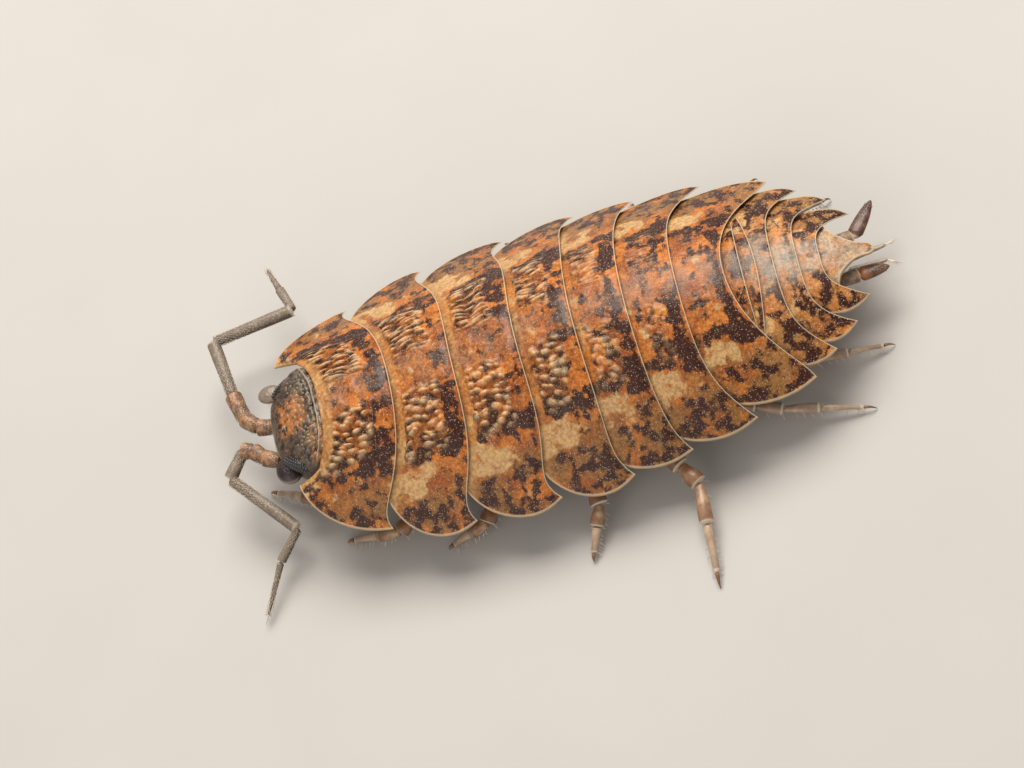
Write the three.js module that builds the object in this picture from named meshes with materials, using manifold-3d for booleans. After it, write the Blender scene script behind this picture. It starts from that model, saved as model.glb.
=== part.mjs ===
// A woodlouse standing with its head towards -Y and its tail towards +Y, left side on +X.
// Sizes are in millimetres. While the animal is built, y = 0 lies near the hind corners of the
// first body plate and z = 0 is the floor. The whole group is then moved so that its origin is
// the middle of the bottom of its box.
import * as THREE from 'three';
import { mergeVertices } from 'three/addons/utils/BufferGeometryUtils.js';
import Module from 'manifold-3d';

// Driving dimensions of the shell
const GAP = 0.1;
const PLATE_THICK = 0.16;
const PLATE_STEP = PLATE_THICK + GAP;
const PLATE_OVERLAP = 0.4;
const TAIL_THICK = 0.12;
const TAIL_STEP = TAIL_THICK + GAP;
const TAIL_OVERLAP = 0.3;
const PLEON_SINKS = [0.6, 0.85, 1.15, 0.9, 0.6];
const TELSON_SINK = 0.6;
const NOTCH_PLACE = 5.16;
const ROUND_DROP = 1.18;
const WIDEST_SHARE = 1.06;
const MARGIN_SWELL = 2.27;
const TRUNK_SHARE = 0.52;
const TRUNK_LIMIT = 0.86;
const TRUNK_SEAM = 0.03;
const BELLY_Z = 1.25;
const BELLY_CROWN = 0.12;
const LEAST_BODY = 0.05;
const TURN_PASSES = 4;
const LEAST_TURN = 0.2;
const MOST_TURN = 0.95;
const RIM_START = 0.02;
const LEAST_OPEN = 0.3;
const LEAST_THICK = 0.08;
const STRIP_ENDS = { start: 0.95, end: 1.75, width: 0.4, depth: 1.5 };

// Stations along the body: [y, value]
const HALF_WIDTH = [
  [-2.1, 2.45], [-0.08, 3.1], [1.93, 3.55], [4.05, 3.64], [5.88, 3.67], [7.38, 3.53],
  [9.07, 3.29], [10.59, 2.8], [11.33, 2.25], [11.97, 1.72], [12.42, 1.14], [12.8, 0.95],
];
const DOME_HEIGHT = [
  [-2.1, 0.95], [-0.9, 1.36], [0, 1.53], [2, 1.78], [4.1, 2], [6, 2.07], [8, 1.87],
  [9.5, 1.47], [10.6, 1.05], [11.6, 0.6], [12.8, 0.08],
];
const EDGE_HEIGHT = [
  [-2.1, 1.62], [0, 1.49], [3, 1.39], [5.5, 1.36], [8, 1.4], [10.6, 1.51], [12.8, 1.6],
];
const NECK_SHIFT = 0.018;
const NECK_START = 0.9;

// Body plates from front to back. corner and middle are y of the hind margin at its tip and on
// the midline, half is the half width at the tip, notch the forward cut of the margin before
// the tip, power how late the margin sweeps back, front the width share of the hidden front,
// hook how far the side bulges before the tip, swell how full its front is.
const PEREON = [
  {
    corner: -0.08, half: 3.1, middle: 0.93, notch: 0.23, power: 2.11, front: 0.54, hook: -0.05,
    swell: 1.8,
  },
  { corner: 1.93, half: 3.55, middle: 2.53, notch: 0.25, power: 2.74, front: 0.6, hook: 0.16 },
  { corner: 4.05, half: 3.64, middle: 4.18, notch: 0.3, power: 6.14, front: 0.66, hook: 0.25 },
  { corner: 5.88, half: 3.67, middle: 5.63, notch: 0.15, power: 5.23, front: 0.66, hook: 0.28 },
  { corner: 7.38, half: 3.53, middle: 6.94, notch: 0.05, power: 5.41, front: 0.78, hook: 0.19 },
  { corner: 9.07, half: 3.29, middle: 8.23, notch: -0.07, power: 5.57, front: 0.77, hook: 0.26 },
  { corner: 10.68, half: 2.78, middle: 9.35, notch: -0.08, power: 2.15, front: 0.86, hook: 0.34 },
];
const PLEON = [
  { corner: 9.72, half: 1.6, middle: 9.765, notch: 0, power: 3, front: 1, hook: 0 },
  { corner: 9.86, half: 1.65, middle: 10.11, notch: 0, power: 2, front: 1, hook: 0 },
  { corner: 11.33, half: 2.25, middle: 10.51, notch: -0.09, power: 6, front: 0.88, hook: 0.3 },
  { corner: 11.97, half: 1.72, middle: 11.06, notch: -0.01, power: 5.53, front: 0.82, hook: 0.42 },
  { corner: 12.42, half: 1.14, middle: 11.56, notch: -0.04, power: 4.49, front: 0.84, hook: 0.4 },
];

// Front edge of the first plate: a shallow bow that ends in a hook round each side of the head
const COLLAR = { y: -0.92, bend: 0.13, hook: 0.38, hookStart: 1.45, hookWidth: 0.21 };

// Telson: its half width falls from the hidden front to the blunt tip
const TELSON = {
  tip: 12.79, half: 0.93, tipHalf: 0.17, taper: 1.15, roundStart: 0.85, roundLeast: 0.12,
  thick: 0.3, tipThick: 0.14, rows: 10, columns: 8,
};

// Head: rings from the rear wall to the front rim. wrap is how closely a ring follows the bow
// of the first plate's front edge, and the front rings bow the other way.
const HEAD_STATIONS = [
  { y: -1.03, half: 1.35, top: 2.7, low: 1.55, wrap: 1 },
  { y: -1.2, half: 1.39, top: 2.68, low: 1.42, wrap: 0.85 },
  { y: -1.5, half: 1.37, top: 2.56, low: 1.3, wrap: 0.55 },
  { y: -1.8, half: 1.29, top: 2.4, low: 1.24, wrap: 0.2 },
  { y: -2.08, half: 1.15, top: 2.22, low: 1.22, wrap: -0.4 },
  { y: -2.28, half: 1.02, top: 2.04, low: 1.26, wrap: -0.8 },
  { y: -2.4, half: 0.86, top: 1.86, low: 1.36, wrap: -1 },
];
const HEAD_SIDES = 20;
const HEAD_SQUARENESS = 0.75;
const HEAD_BULGE = 0.04;
const LOBES = [
  { x: 1.01, y: -2.18, z: 1.8, radii: [0.36, 0.34, 0.23] },
  { x: -1.16, y: -2.27, z: 1.82, radii: [0.24, 0.3, 0.12] },
];
const EYE_RADII = [0.16, 0.44, 0.16];
const EYES = {
  left: { place: [1.08, -1.86, 2.1], tilt: 0.75, turn: -0.69 },
  right: { place: [-1.14, -1.8, 2.0], tilt: -0.9, turn: 0.5 },
};
const EYE_GAP = 0.06;

// Mouthparts under the head
const MOUTH = { y: -1.95, z: 0.96, radii: [0.62, 0.42, 0.2] };

// Feelers: joints from the head to the tip, [x, y, z]. The first stretch leaves the head at
// right angles to its face.
const FEELER_PIECES = ['base', 'stem', 'shaft', 'lash'];
const FEELERS = {
  left: {
    root: [0.36, -2.56, 1.5],
    base: [[0.36, -2.72, 1.49], [-0.15, -3.02, 1.43], [-0.32, -3.3, 1.4]],
    stem: [[0.25, -3.78, 1.3]],
    shaft: [[1.95, -2.48, 0.95]],
    lash: [[2.48, -3.14, 0.6], [3.58, -3.81, 0.22]],
  },
  right: {
    root: [-0.66, -2.56, 1.46],
    base: [[-0.66, -2.7, 1.45], [-1.05, -3.08, 1.4], [-1.87, -3.26, 1.42]],
    stem: [[-3.48, -3.47, 1.42]],
    shaft: [[-3.66, -1.36, 1.4]],
    lash: [[-4.4, -1.6, 1.3], [-5.11, -1.82, 1.2]],
  },
};
const FEELER_RADII = { base: 0.25, stem: 0.22, shaft: 0.24, lash: 0.15 };
const FEELER_TIP = 0.05;
const FEELER_SIDES = 8;
const JOINT_GAP = 0.08;

// Tail limbs: a stalk and an outer blade as [x, y, z, radius], and a slim inner blade
const TAIL_LIMBS = {
  left: {
    stalk: [[0.5, 11.8, 1.46, 0.17], [0.44, 12.18, 1.35, 0.18]],
    blade: [[0.44, 12.29, 1.33, 0.17], [0.47, 12.55, 1.3, 0.19], [0.4, 12.98, 1.24, 0.06]],
  },
  right: {
    stalk: [[-0.5, 11.8, 1.45, 0.17], [-0.58, 12.22, 1.34, 0.17]],
    blade: [[-0.72, 12.4, 1.3, 0.16], [-0.98, 12.6, 1.27, 0.18], [-1.5, 12.96, 1.2, 0.05]],
  },
};
const INNER_BLADE = {
  x: 0.15, root: 12.0, tip: 13.1, z: 1.12, tipZ: 1.08, radius: 0.11, tipRadius: 0.04,
};
const STALK_SIDES = 8;
const BLADE_SIDES = 6;

// Gill plates under the tail
const GILLS = { y: 10.35, z: 1.0, radii: [1.05, 1.2, 0.14] };

// Legs: root y on the trunk, knee and wrist places, and the foot on the floor
const LEGS = {
  left: [
    { root: -0.75, knee: [1.35, -1.75, 0.62], foot: [0.55, -3.15] },
    { root: 1.1, knee: [2.75, -0.1, 0.62], foot: [2.35, -1.55] },
    { root: 2.9, knee: [3.25, 2.0, 0.62], foot: [3.3, 0.85] },
    { root: 4.6, knee: [3.75, 4.75, 0.62], foot: [4.85, 4.2] },
    { root: 6.1, knee: [4.05, 7.2, 0.62], foot: [6.6, 7] },
    { root: 7.45, knee: [2.85, 9.6, 0.62], foot: [3.3, 11.7] },
    { root: 8.5, knee: [1.85, 10.7, 0.62], foot: [1.8, 12.5] },
  ],
  right: [
    { root: -0.75, knee: [2.05, -1.7, 0.62], foot: [2.1, -2.75] },
    { root: 1.1, knee: [3.0, 0.35, 0.62], foot: [3.35, -0.75] },
    { root: 2.9, knee: [3.3, 2.4, 0.62], foot: [4.0, 1.5] },
    { root: 4.6, knee: [3.45, 4.5, 0.62], foot: [4.3, 3.9] },
    { root: 6.1, knee: [3.45, 6.8, 0.62], foot: [4.2, 7.2] },
    { root: 7.45, knee: [2.9, 9.0, 0.62], foot: [3.8, 10.3] },
    { root: 8.5, knee: [2.1, 10.5, 0.62], foot: [2.6, 11.9] },
  ],
};
const LEG_SIDES = 8;
const LEG_ROOT_Z = 1.55;
const LEG_RADII = { root: 0.24, thigh: 0.26, knee: 0.24, shin: 0.22, wrist: 0.17, foot: 0.1 };
const LEG_COLLAR = 0.14;
const LEG_GAP = 0.15;
const FOOT_RISE = 0.22;
const LEG_BEND = { across: 0.5, along: 0.45, drop: 0.7 };
const SHIN = { along: 0.4, drop: 0.3 };
const WRIST = { along: 0.75, drop: 0.62 };
const ANKLE = { along: 0.93, swell: 1.2 };
const SHIN_START_SHARE = 0.92;

// Mesh detail of round bodies and plates
const EGG_SIDES = 14;
const EGG_RINGS = 9;
const MERGE_DISTANCE = 1e-5;
const PLATE_GRID = { bodyRows: 4, rimRows: 1, trunkColumns: 4, sideColumns: 6 };
const TAIL_GRID = { bodyRows: 2, rimRows: 1, trunkColumns: 3, sideColumns: 4 };

// Finish
const SATIN = 0.55;
const GLOSSY = 0.2;

const DARK = new THREE.Color(0.22, 0.1, 0.06);
const ORANGE = new THREE.Color(0.42, 0.2, 0.08);
const TAN = new THREE.Color(0.5, 0.33, 0.2);

const wasm = await Module();
wasm.setup();

const clamp = (value, low, high) => Math.min(Math.max(value, low), high);
const mix = (from, to, share) => from + (to - from) * share;
const smooth = (value) => {
  const share = clamp(value, 0, 1);
  return share * share * (3 - 2 * share);
};

// A smooth curve through stations
function along(stations, y) {
  const last = stations.length - 1;
  const here = clamp(y, stations[0][0], stations[last][0]);
  let k = 0;
  while (k < last - 1 && here > stations[k + 1][0]) {
    k += 1;
  }
  const slope = (n) => {
    const before = stations[Math.max(n - 1, 0)];
    const after = stations[Math.min(n + 1, last)];
    return (after[1] - before[1]) / (after[0] - before[0]);
  };
  const length = stations[k + 1][0] - stations[k][0];
  const t = (here - stations[k][0]) / length;
  const bend0 = slope(k) * length;
  const bend1 = slope(k + 1) * length;
  const jump = stations[k + 1][1] - stations[k][1];
  const cubic = bend0 + bend1 - 2 * jump;
  const square = 3 * jump - 2 * bend0 - bend1;
  return stations[k][1] + t * (bend0 + t * (square + t * cubic));
}

// Height of the smooth back at a place
function dome(x, y) {
  const t = Math.min(Math.abs(x) / along(HALF_WIDTH, y), WIDEST_SHARE);
  const fall = ROUND_DROP * t * t - (ROUND_DROP - 1) * t ** 4;
  return along(EDGE_HEIGHT, y) + along(DOME_HEIGHT, y) * (1 - fall);
}

// The head end stands a little to the right of the middle line
function sway(y) {
  const reach = Math.max(NECK_START - y, 0);
  return -NECK_SHIFT * reach * reach;
}

// y of a plate's hind margin at a distance from the middle line
function hindMargin(plate, x) {
  const t = clamp(Math.abs(x) / plate.half, 0, 1);
  const cut = plate.notch * Math.sin(Math.PI * t ** NOTCH_PLACE);
  return mix(plate.middle, plate.corner, t ** plate.power) - cut;
}

// y of the first plate's front edge at a distance from the middle line
function collar(x) {
  const hook = Math.max((Math.abs(x) - COLLAR.hookStart) / COLLAR.hookWidth, 0);
  return COLLAR.y - COLLAR.bend * Math.abs(x) ** 3 - COLLAR.hook * hook ** 2;
}

// Half width of a plate from its front (0) to its hind tip (1)
function lateralMargin(plate, u) {
  const start = plate.half * plate.front;
  const full = plate.half + plate.hook;
  const swell = plate.swell ?? MARGIN_SWELL;
  const round = (1 - (1 - u) ** swell) ** (1 / swell);
  return mix(start, full, round) - plate.hook * u ** 4;
}

// A closed body between an upper and a lower grid of points with the same edge layout
function gridBody(top, bottom) {
  const rows = top.length;
  const columns = top[0].length;
  const points = [];
  const faces = [];
  for (const sheet of [top, bottom]) {
    for (const row of sheet) {
      for (const point of row) {
        points.push(point);
      }
    }
  }
  const at = (layer, r, c) => layer * rows * columns + r * columns + c;
  const quad = (a, b, c, d) => {
    faces.push([a, b, c], [a, c, d]);
  };
  for (let r = 0; r < rows - 1; r += 1) {
    for (let c = 0; c < columns - 1; c += 1) {
      quad(at(0, r, c), at(0, r, c + 1), at(0, r + 1, c + 1), at(0, r + 1, c));
      quad(at(1, r, c), at(1, r + 1, c), at(1, r + 1, c + 1), at(1, r, c + 1));
    }
  }
  const end = rows - 1;
  const side = columns - 1;
  for (let c = 0; c < side; c += 1) {
    quad(at(0, 0, c), at(1, 0, c), at(1, 0, c + 1), at(0, 0, c + 1));
    quad(at(0, end, c), at(0, end, c + 1), at(1, end, c + 1), at(1, end, c));
  }
  for (let r = 0; r < end; r += 1) {
    quad(at(0, r, 0), at(0, r + 1, 0), at(1, r + 1, 0), at(1, r, 0));
    quad(at(0, r, side), at(1, r, side), at(1, r + 1, side), at(0, r + 1, side));
  }
  return orient(points, faces);
}

// Turns the faces out and returns plain geometry
function orient(points, faces) {
  let volume = 0;
  for (const [a, b, c] of faces) {
    const [p, q, r] = [points[a], points[b], points[c]];
    volume += p[0] * (q[1] * r[2] - q[2] * r[1]);
    volume += p[1] * (q[2] * r[0] - q[0] * r[2]);
    volume += p[2] * (q[0] * r[1] - q[1] * r[0]);
  }
  const outward = volume > 0 ? faces : faces.map(([a, b, c]) => [a, c, b]);
  const geometry = new THREE.BufferGeometry();
  geometry.setAttribute('position', new THREE.Float32BufferAttribute(points.flat(), 3));
  geometry.setIndex(outward.flat());
  return geometry;
}

function toSolid(geometry) {
  const vertProperties = new Float32Array(geometry.attributes.position.array);
  const triVerts = new Uint32Array(geometry.index.array);
  return new wasm.Manifold(new wasm.Mesh({ numProp: 3, vertProperties, triVerts }));
}

// The largest closed surface of a solid as geometry
function toGeometry(solid) {
  const pieces = solid.decompose();
  pieces.sort((a, b) => b.volume() - a.volume());
  const mesh = pieces[0].getMesh();
  const geometry = new THREE.BufferGeometry();
  const places = new Float32Array(mesh.vertProperties);
  geometry.setAttribute('position', new THREE.BufferAttribute(places, 3));
  geometry.setIndex(Array.from(mesh.triVerts));
  return geometry;
}

// Place of a plate's column across its width, at a share of the way from front to hind tip
function across(plate, column, u) {
  const full = lateralMargin(plate, u);
  const trunk = Math.min(TRUNK_SHARE * plate.half, full * TRUNK_LIMIT);
  const inTrunk = column.kind === 'trunk';
  const distance = inTrunk ? trunk * column.share : mix(trunk + TRUNK_SEAM, full, column.share);
  return column.sign * distance;
}

// Columns of a plate from its right edge to its left
function plateColumns(grid) {
  const half = [];
  for (let j = 0; j <= grid.trunkColumns; j += 1) {
    half.push({ kind: 'trunk', share: j / grid.trunkColumns });
  }
  for (let j = 0; j <= grid.sideColumns; j += 1) {
    half.push({ kind: 'side', share: j / grid.sideColumns });
  }
  const right = half.slice(1).reverse().map((column) => ({ ...column, sign: -1 }));
  return [...right, ...half.map((column) => ({ ...column, sign: 1 }))];
}

// One shell plate with its share of the trunk below it. frontOf gives y of its front edge,
// nextFront y of the plate behind, hidden the y up to which the plate before covers it.
function plateBody(plate, frontOf, nextFront, hidden, sizes) {
  const { thick, step, depth, sink, grid } = sizes;
  const columns = plateColumns(grid);
  const top = [];
  const bottom = [];
  const addRow = (part, share) => {
    const topRow = [];
    const bottomRow = [];
    for (const column of columns) {
      const front = frontOf(across(plate, column, 0));
      const rear = hindMargin(plate, across(plate, column, 1));
      let turn = 0.5;
      for (let pass = 0; pass < TURN_PASSES; pass += 1) {
        const wall = nextFront(across(plate, column, turn)) - GAP;
        turn = clamp((wall - front) / (rear - front), LEAST_TURN, MOST_TURN);
      }
      const rimStart = turn + RIM_START / (rear - front);
      const u = part === 'body' ? turn * share : mix(rimStart, 1, share);
      const x = across(plate, column, u);
      const y = mix(front, rear, u);
      const cover = hidden(x);
      const open = clamp((y - cover) / Math.max(rear - cover, LEAST_OPEN), 0, 1);
      const back = dome(x, y);
      const tucked = 1 - clamp((y - front) / (cover - front), 0, 1);
      const surface = back - step * (depth(x) * (1 - open) + sink * tucked);
      const rim = Math.min(back - thick, surface - LEAST_THICK);
      const under = part === 'rim' ? rim : surface - thick;
      const inTrunk = column.kind === 'trunk' && part === 'body';
      const belly = BELLY_Z + BELLY_CROWN * (x / (TRUNK_SHARE * plate.half)) ** 2;
      const low = inTrunk ? Math.min(belly, under - LEAST_BODY) : under;
      topRow.push([x + sway(y), y, surface]);
      bottomRow.push([x + sway(y), y, low]);
    }
    top.push(topRow);
    bottom.push(bottomRow);
  };
  for (let r = 0; r <= grid.bodyRows; r += 1) {
    addRow('body', r / grid.bodyRows);
  }
  for (let r = 0; r <= grid.rimRows; r += 1) {
    addRow('rim', r / grid.rimRows);
  }
  return gridBody(top, bottom);
}

// A closed body through rings of points, closed by a fan at each end
function ringBody(rings, startTip, endTip) {
  const sides = rings[0].length;
  const points = rings.flat();
  const faces = [];
  for (let r = 0; r < rings.length - 1; r += 1) {
    for (let k = 0; k < sides; k += 1) {
      const a = r * sides + k;
      const b = r * sides + (k + 1) % sides;
      faces.push([a, b, b + sides], [a, b + sides, a + sides]);
    }
  }
  const first = points.push(startTip) - 1;
  const last = points.push(endTip) - 1;
  const offset = (rings.length - 1) * sides;
  for (let k = 0; k < sides; k += 1) {
    const after = (k + 1) % sides;
    faces.push([first, after, k], [last, offset + k, offset + after]);
  }
  return orient(points, faces);
}

// A round limb along a path of [x, y, z, radius]. A foot ends in a level flat on the floor.
function limbBody(path, sides, foot = false) {
  const places = path.map(([x, y, z]) => new THREE.Vector3(x, y, z));
  const end = places.length - 1;
  const rings = places.map((place, k) => {
    const before = places[Math.max(k - 1, 0)];
    const after = places[Math.min(k + 1, end)];
    const way = after.clone().sub(before).normalize();
    if (foot && k === end) {
      way.set(0, 0, -1);
    }
    const level = foot && k === end ? after.clone().sub(before).setZ(0).normalize() : way;
    const aside = level.clone().cross(new THREE.Vector3(0, 0, 1)).normalize();
    const up = aside.clone().cross(way).normalize();
    const radius = path[k][3];
    const ring = [];
    for (let n = 0; n < sides; n += 1) {
      const angle = 2 * Math.PI * (n + 0.5) / sides;
      const point = place.clone();
      point.addScaledVector(aside, radius * Math.cos(angle));
      point.addScaledVector(up, radius * Math.sin(angle));
      ring.push([point.x, point.y, foot && k === end ? 0 : point.z]);
    }
    return ring;
  });
  return ringBody(rings, places[0].toArray(), places[end].toArray());
}

// An ellipsoid tilted about Y and then turned about the vertical axis
function eggBody(centre, radii, tilt = 0, turn = 0) {
  const sphere = new THREE.SphereGeometry(1, EGG_SIDES, EGG_RINGS);
  const plain = new THREE.BufferGeometry();
  plain.setAttribute('position', sphere.attributes.position);
  plain.setIndex(sphere.index);
  plain.scale(...radii);
  plain.rotateY(tilt);
  plain.rotateZ(turn);
  plain.translate(...centre);
  return mergeVertices(plain, MERGE_DISTANCE);
}

const group = new THREE.Group();

function add(name, geometry, color, roughness = SATIN) {
  const material = new THREE.MeshStandardMaterial({ color, roughness, metalness: 0 });
  const mesh = new THREE.Mesh(geometry, material);
  mesh.name = name;
  group.add(mesh);
}

function buildPereon() {
  const last = PEREON.length - 1;
  PEREON.forEach((plate, k) => {
    const before = PEREON[k - 1];
    const frontOf = before ? (x) => hindMargin(before, x) - PLATE_OVERLAP : collar;
    const hidden = before ? (x) => hindMargin(before, x) : (x) => collar(x) - PLATE_OVERLAP;
    const overlap = k < last ? PLATE_OVERLAP : TAIL_OVERLAP;
    const nextFront = (x) => hindMargin(plate, x) - overlap;
    const thick = k < last ? PLATE_THICK : TAIL_THICK;
    const sizes = { thick, step: PLATE_STEP, depth: () => 1, sink: 0, grid: PLATE_GRID };
    add(`pereonite_${k + 1}`, plateBody(plate, frontOf, nextFront, hidden, sizes), ORANGE);
  });
}

// The first two tail plates are short strips that run out under the last body plate's margin,
// so what lies below them there sits deeper.
function buildPleon() {
  const last = PEREON[PEREON.length - 1];
  const [first, second, third, fourth] = PLEON;
  const covers = [
    (x) => hindMargin(last, x),
    (x) => Math.max(hindMargin(first, x), hindMargin(last, x)),
    (x) => Math.max(hindMargin(second, x), hindMargin(last, x)),
    (x) => hindMargin(third, x),
    (x) => hindMargin(fourth, x),
  ];
  const shown = (plate, x) => {
    const length = hindMargin(plate, x) - hindMargin(last, x);
    return clamp(length / (plate.middle - last.middle), 0, 1);
  };
  const stripEnds = (x) => {
    const inner = smooth((Math.abs(x) - STRIP_ENDS.start) / STRIP_ENDS.width);
    const outer = smooth((Math.abs(x) - STRIP_ENDS.end) / STRIP_ENDS.width);
    return STRIP_ENDS.depth * inner * (1 - outer);
  };
  const depths = [() => 1, (x) => 2 - shown(first, x), (x) => 1 + stripEnds(x), () => 1, () => 1];
  PLEON.forEach((plate, k) => {
    const frontOf = (x) => covers[k](x) - TAIL_OVERLAP;
    const nextCover = covers[k + 1] ?? ((x) => hindMargin(plate, x));
    const nextFront = (x) => nextCover(x) - TAIL_OVERLAP;
    const sizes = {
      thick: TAIL_THICK, step: TAIL_STEP, depth: depths[k], sink: PLEON_SINKS[k], grid: TAIL_GRID,
    };
    add(`pleonite_${k + 1}`, plateBody(plate, frontOf, nextFront, covers[k], sizes), ORANGE);
  });
}

// A power that keeps the sign
function signed(value, power) {
  return Math.sign(value) * Math.abs(value) ** power;
}

function buildHead() {
  const rings = HEAD_STATIONS.map(({ y, half, top, low, wrap }) => {
    const middle = (top + low) / 2;
    const tall = (top - low) / 2;
    const ring = [];
    for (let k = 0; k < HEAD_SIDES; k += 1) {
      const angle = 2 * Math.PI * k / HEAD_SIDES;
      const x = half * signed(Math.cos(angle), HEAD_SQUARENESS);
      const z = middle + tall * signed(Math.sin(angle), HEAD_SQUARENESS);
      const place = y - wrap * COLLAR.bend * Math.abs(x) ** 3;
      ring.push([x + sway(place), place, z]);
    }
    return ring;
  });
  const first = HEAD_STATIONS[0];
  const last = HEAD_STATIONS[HEAD_STATIONS.length - 1];
  const startTip = [sway(first.y), first.y, (first.top + first.low) / 2];
  const endTip = [sway(last.y), last.y - HEAD_BULGE, (last.top + last.low) / 2];
  let head = toSolid(ringBody(rings, startTip, endTip));
  for (const { x, y, z, radii } of LOBES) {
    head = head.add(toSolid(eggBody([x + sway(y), y, z], radii)));
  }
  for (const [side, { place, tilt, turn }] of Object.entries(EYES)) {
    const [x, y, z] = place;
    const centre = [x + sway(y), y, z];
    const wide = EYE_RADII.map((radius) => radius + EYE_GAP);
    head = head.subtract(toSolid(eggBody(centre, wide, tilt, turn)));
    add(`eye_${side}`, eggBody(centre, EYE_RADII, tilt, turn), DARK, GLOSSY);
  }
  add('head', toGeometry(head), DARK);
}

function buildMouth() {
  add('mouthparts', eggBody([sway(MOUTH.y), MOUTH.y, MOUTH.z], MOUTH.radii), TAN);
}

// Where the next piece starts past a joint, so that its end face clears the piece before
function pastJoint(before, joint, after, radius, nextRadius) {
  const came = joint.clone().sub(before).normalize();
  const goes = after.clone().sub(joint).normalize();
  const straight = came.dot(goes);
  const turn = Math.sqrt(Math.max(1 - straight ** 2, 0));
  const ahead = radius * turn + JOINT_GAP;
  const aside = straight < 0 ? (radius + JOINT_GAP - nextRadius * straight) / turn : 0;
  return joint.clone().addScaledVector(goes, Math.max(ahead, aside));
}

function buildFeelers() {
  for (const [side, joints] of Object.entries(FEELERS)) {
    let before = null;
    let joint = new THREE.Vector3(...joints.root);
    let lastRadius = 0;
    for (const piece of FEELER_PIECES) {
      const places = joints[piece].map((place) => new THREE.Vector3(...place));
      const radius = FEELER_RADII[piece];
      const start = before ? pastJoint(before, joint, places[0], lastRadius, radius) : joint;
      const path = [start, ...places].map((place) => [...place.toArray(), radius]);
      if (piece === 'lash') {
        path[path.length - 1][3] = FEELER_TIP;
      }
      add(`antenna_${side}_${piece}`, limbBody(path, FEELER_SIDES), DARK);
      before = places[places.length - 2] ?? start;
      joint = places[places.length - 1];
      lastRadius = radius;
    }
  }
}

function buildTelson() {
  const plate = PLEON[PLEON.length - 1];
  const { rows, columns } = TELSON;
  const length = TELSON.tip - plate.middle + TAIL_OVERLAP;
  const top = [];
  const bottom = [];
  for (let r = 0; r <= rows; r += 1) {
    const u = r / rows;
    const wide = mix(TELSON.tipHalf, TELSON.half, 1 - smooth(u * TELSON.taper));
    const ending = Math.max((u - TELSON.roundStart) / (1 - TELSON.roundStart), 0);
    const half = wide * Math.sqrt(Math.max(1 - ending ** 2, TELSON.roundLeast));
    const thick = mix(TELSON.thick, TELSON.tipThick, u);
    const topRow = [];
    const bottomRow = [];
    for (let c = 0; c <= columns; c += 1) {
      const x = half * (2 * c / columns - 1);
      const cover = hindMargin(plate, x);
      const y = cover - TAIL_OVERLAP + length * u;
      const open = clamp((y - cover) / LEAST_OPEN, 0, 1);
      const tucked = Math.max(1 - length * u / TAIL_OVERLAP, 0);
      const surface = dome(x, y) - TAIL_STEP * (1 - open + TELSON_SINK * tucked);
      topRow.push([x, y, surface]);
      bottomRow.push([x, y, surface - thick]);
    }
    top.push(topRow);
    bottom.push(bottomRow);
  }
  add('telson', gridBody(top, bottom), ORANGE);
}

function buildTailLimbs() {
  for (const [side, { stalk, blade }] of Object.entries(TAIL_LIMBS)) {
    add(`uropod_${side}_stalk`, limbBody(stalk, STALK_SIDES), TAN);
    add(`uropod_${side}_blade`, limbBody(blade, STALK_SIDES), DARK);
    const { root, tip, z, tipZ, radius, tipRadius } = INNER_BLADE;
    const x = side === 'left' ? INNER_BLADE.x : -INNER_BLADE.x;
    const inner = [[x, root, z, radius], [x, tip, tipZ, tipRadius]];
    add(`uropod_${side}_inner`, limbBody(inner, BLADE_SIDES), TAN);
  }
}

function buildGills() {
  add('pleopods', eggBody([0, GILLS.y, GILLS.z], GILLS.radii), TAN);
}

// Half width of the trunk at a place
function trunkHalf(y) {
  const plate = PEREON.find(({ middle }) => middle - PLATE_OVERLAP > y);
  return TRUNK_SHARE * (plate ?? PEREON[PEREON.length - 1]).half;
}

function buildLeg(side, number, { root, knee, foot }) {
  const sign = side === 'left' ? 1 : -1;
  const place = (x, y, z, radius) => [sign * x + sway(y), y, z, radius];
  const wall = trunkHalf(root) + LEG_GAP;
  const [kneeX, kneeY, kneeZ] = knee;
  const [footX, footY] = foot;
  const rootPlace = place(wall, root, LEG_ROOT_Z, LEG_RADII.root);
  const out = place(wall + LEG_COLLAR, root, LEG_ROOT_Z, LEG_RADII.root);
  const bendX = Math.max(mix(wall, kneeX, LEG_BEND.across), wall + LEG_RADII.thigh + LEG_GAP);
  const bendY = mix(root, kneeY, LEG_BEND.along);
  const bend = place(bendX, bendY, mix(LEG_ROOT_Z, kneeZ, LEG_BEND.drop), LEG_RADII.thigh);
  const kneePlace = place(kneeX, kneeY, kneeZ, LEG_RADII.knee);
  const upper = [rootPlace, out, bend, kneePlace];
  add(`leg_${side}_${number}_upper`, limbBody(upper, LEG_SIDES), TAN);
  const at = (share, z, radius) => {
    const [x, y] = [mix(kneeX, footX, share), mix(kneeY, footY, share)];
    return place(x, y, z, radius);
  };
  const spot = ([x, y, z]) => new THREE.Vector3(x, y, z);
  const shin = at(SHIN.along, kneeZ * (1 - SHIN.drop), LEG_RADII.shin);
  const { knee: width } = LEG_RADII;
  const start = pastJoint(spot(bend), spot(kneePlace), spot(shin), width, width);
  const lower = [
    [...start.toArray(), width * SHIN_START_SHARE],
    shin,
    at(WRIST.along, kneeZ * (1 - WRIST.drop), LEG_RADII.wrist),
    at(ANKLE.along, FOOT_RISE, LEG_RADII.foot * ANKLE.swell),
    at(1, 0, LEG_RADII.foot),
  ];
  add(`leg_${side}_${number}_lower`, limbBody(lower, LEG_SIDES, true), TAN);
}

function buildLegs() {
  for (const [side, legs] of Object.entries(LEGS)) {
    legs.forEach((leg, k) => buildLeg(side, k + 1, leg));
  }
}

buildPereon();
buildPleon();
buildTelson();
buildTailLimbs();
buildGills();
buildHead();
buildMouth();
buildFeelers();
buildLegs();

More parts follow.
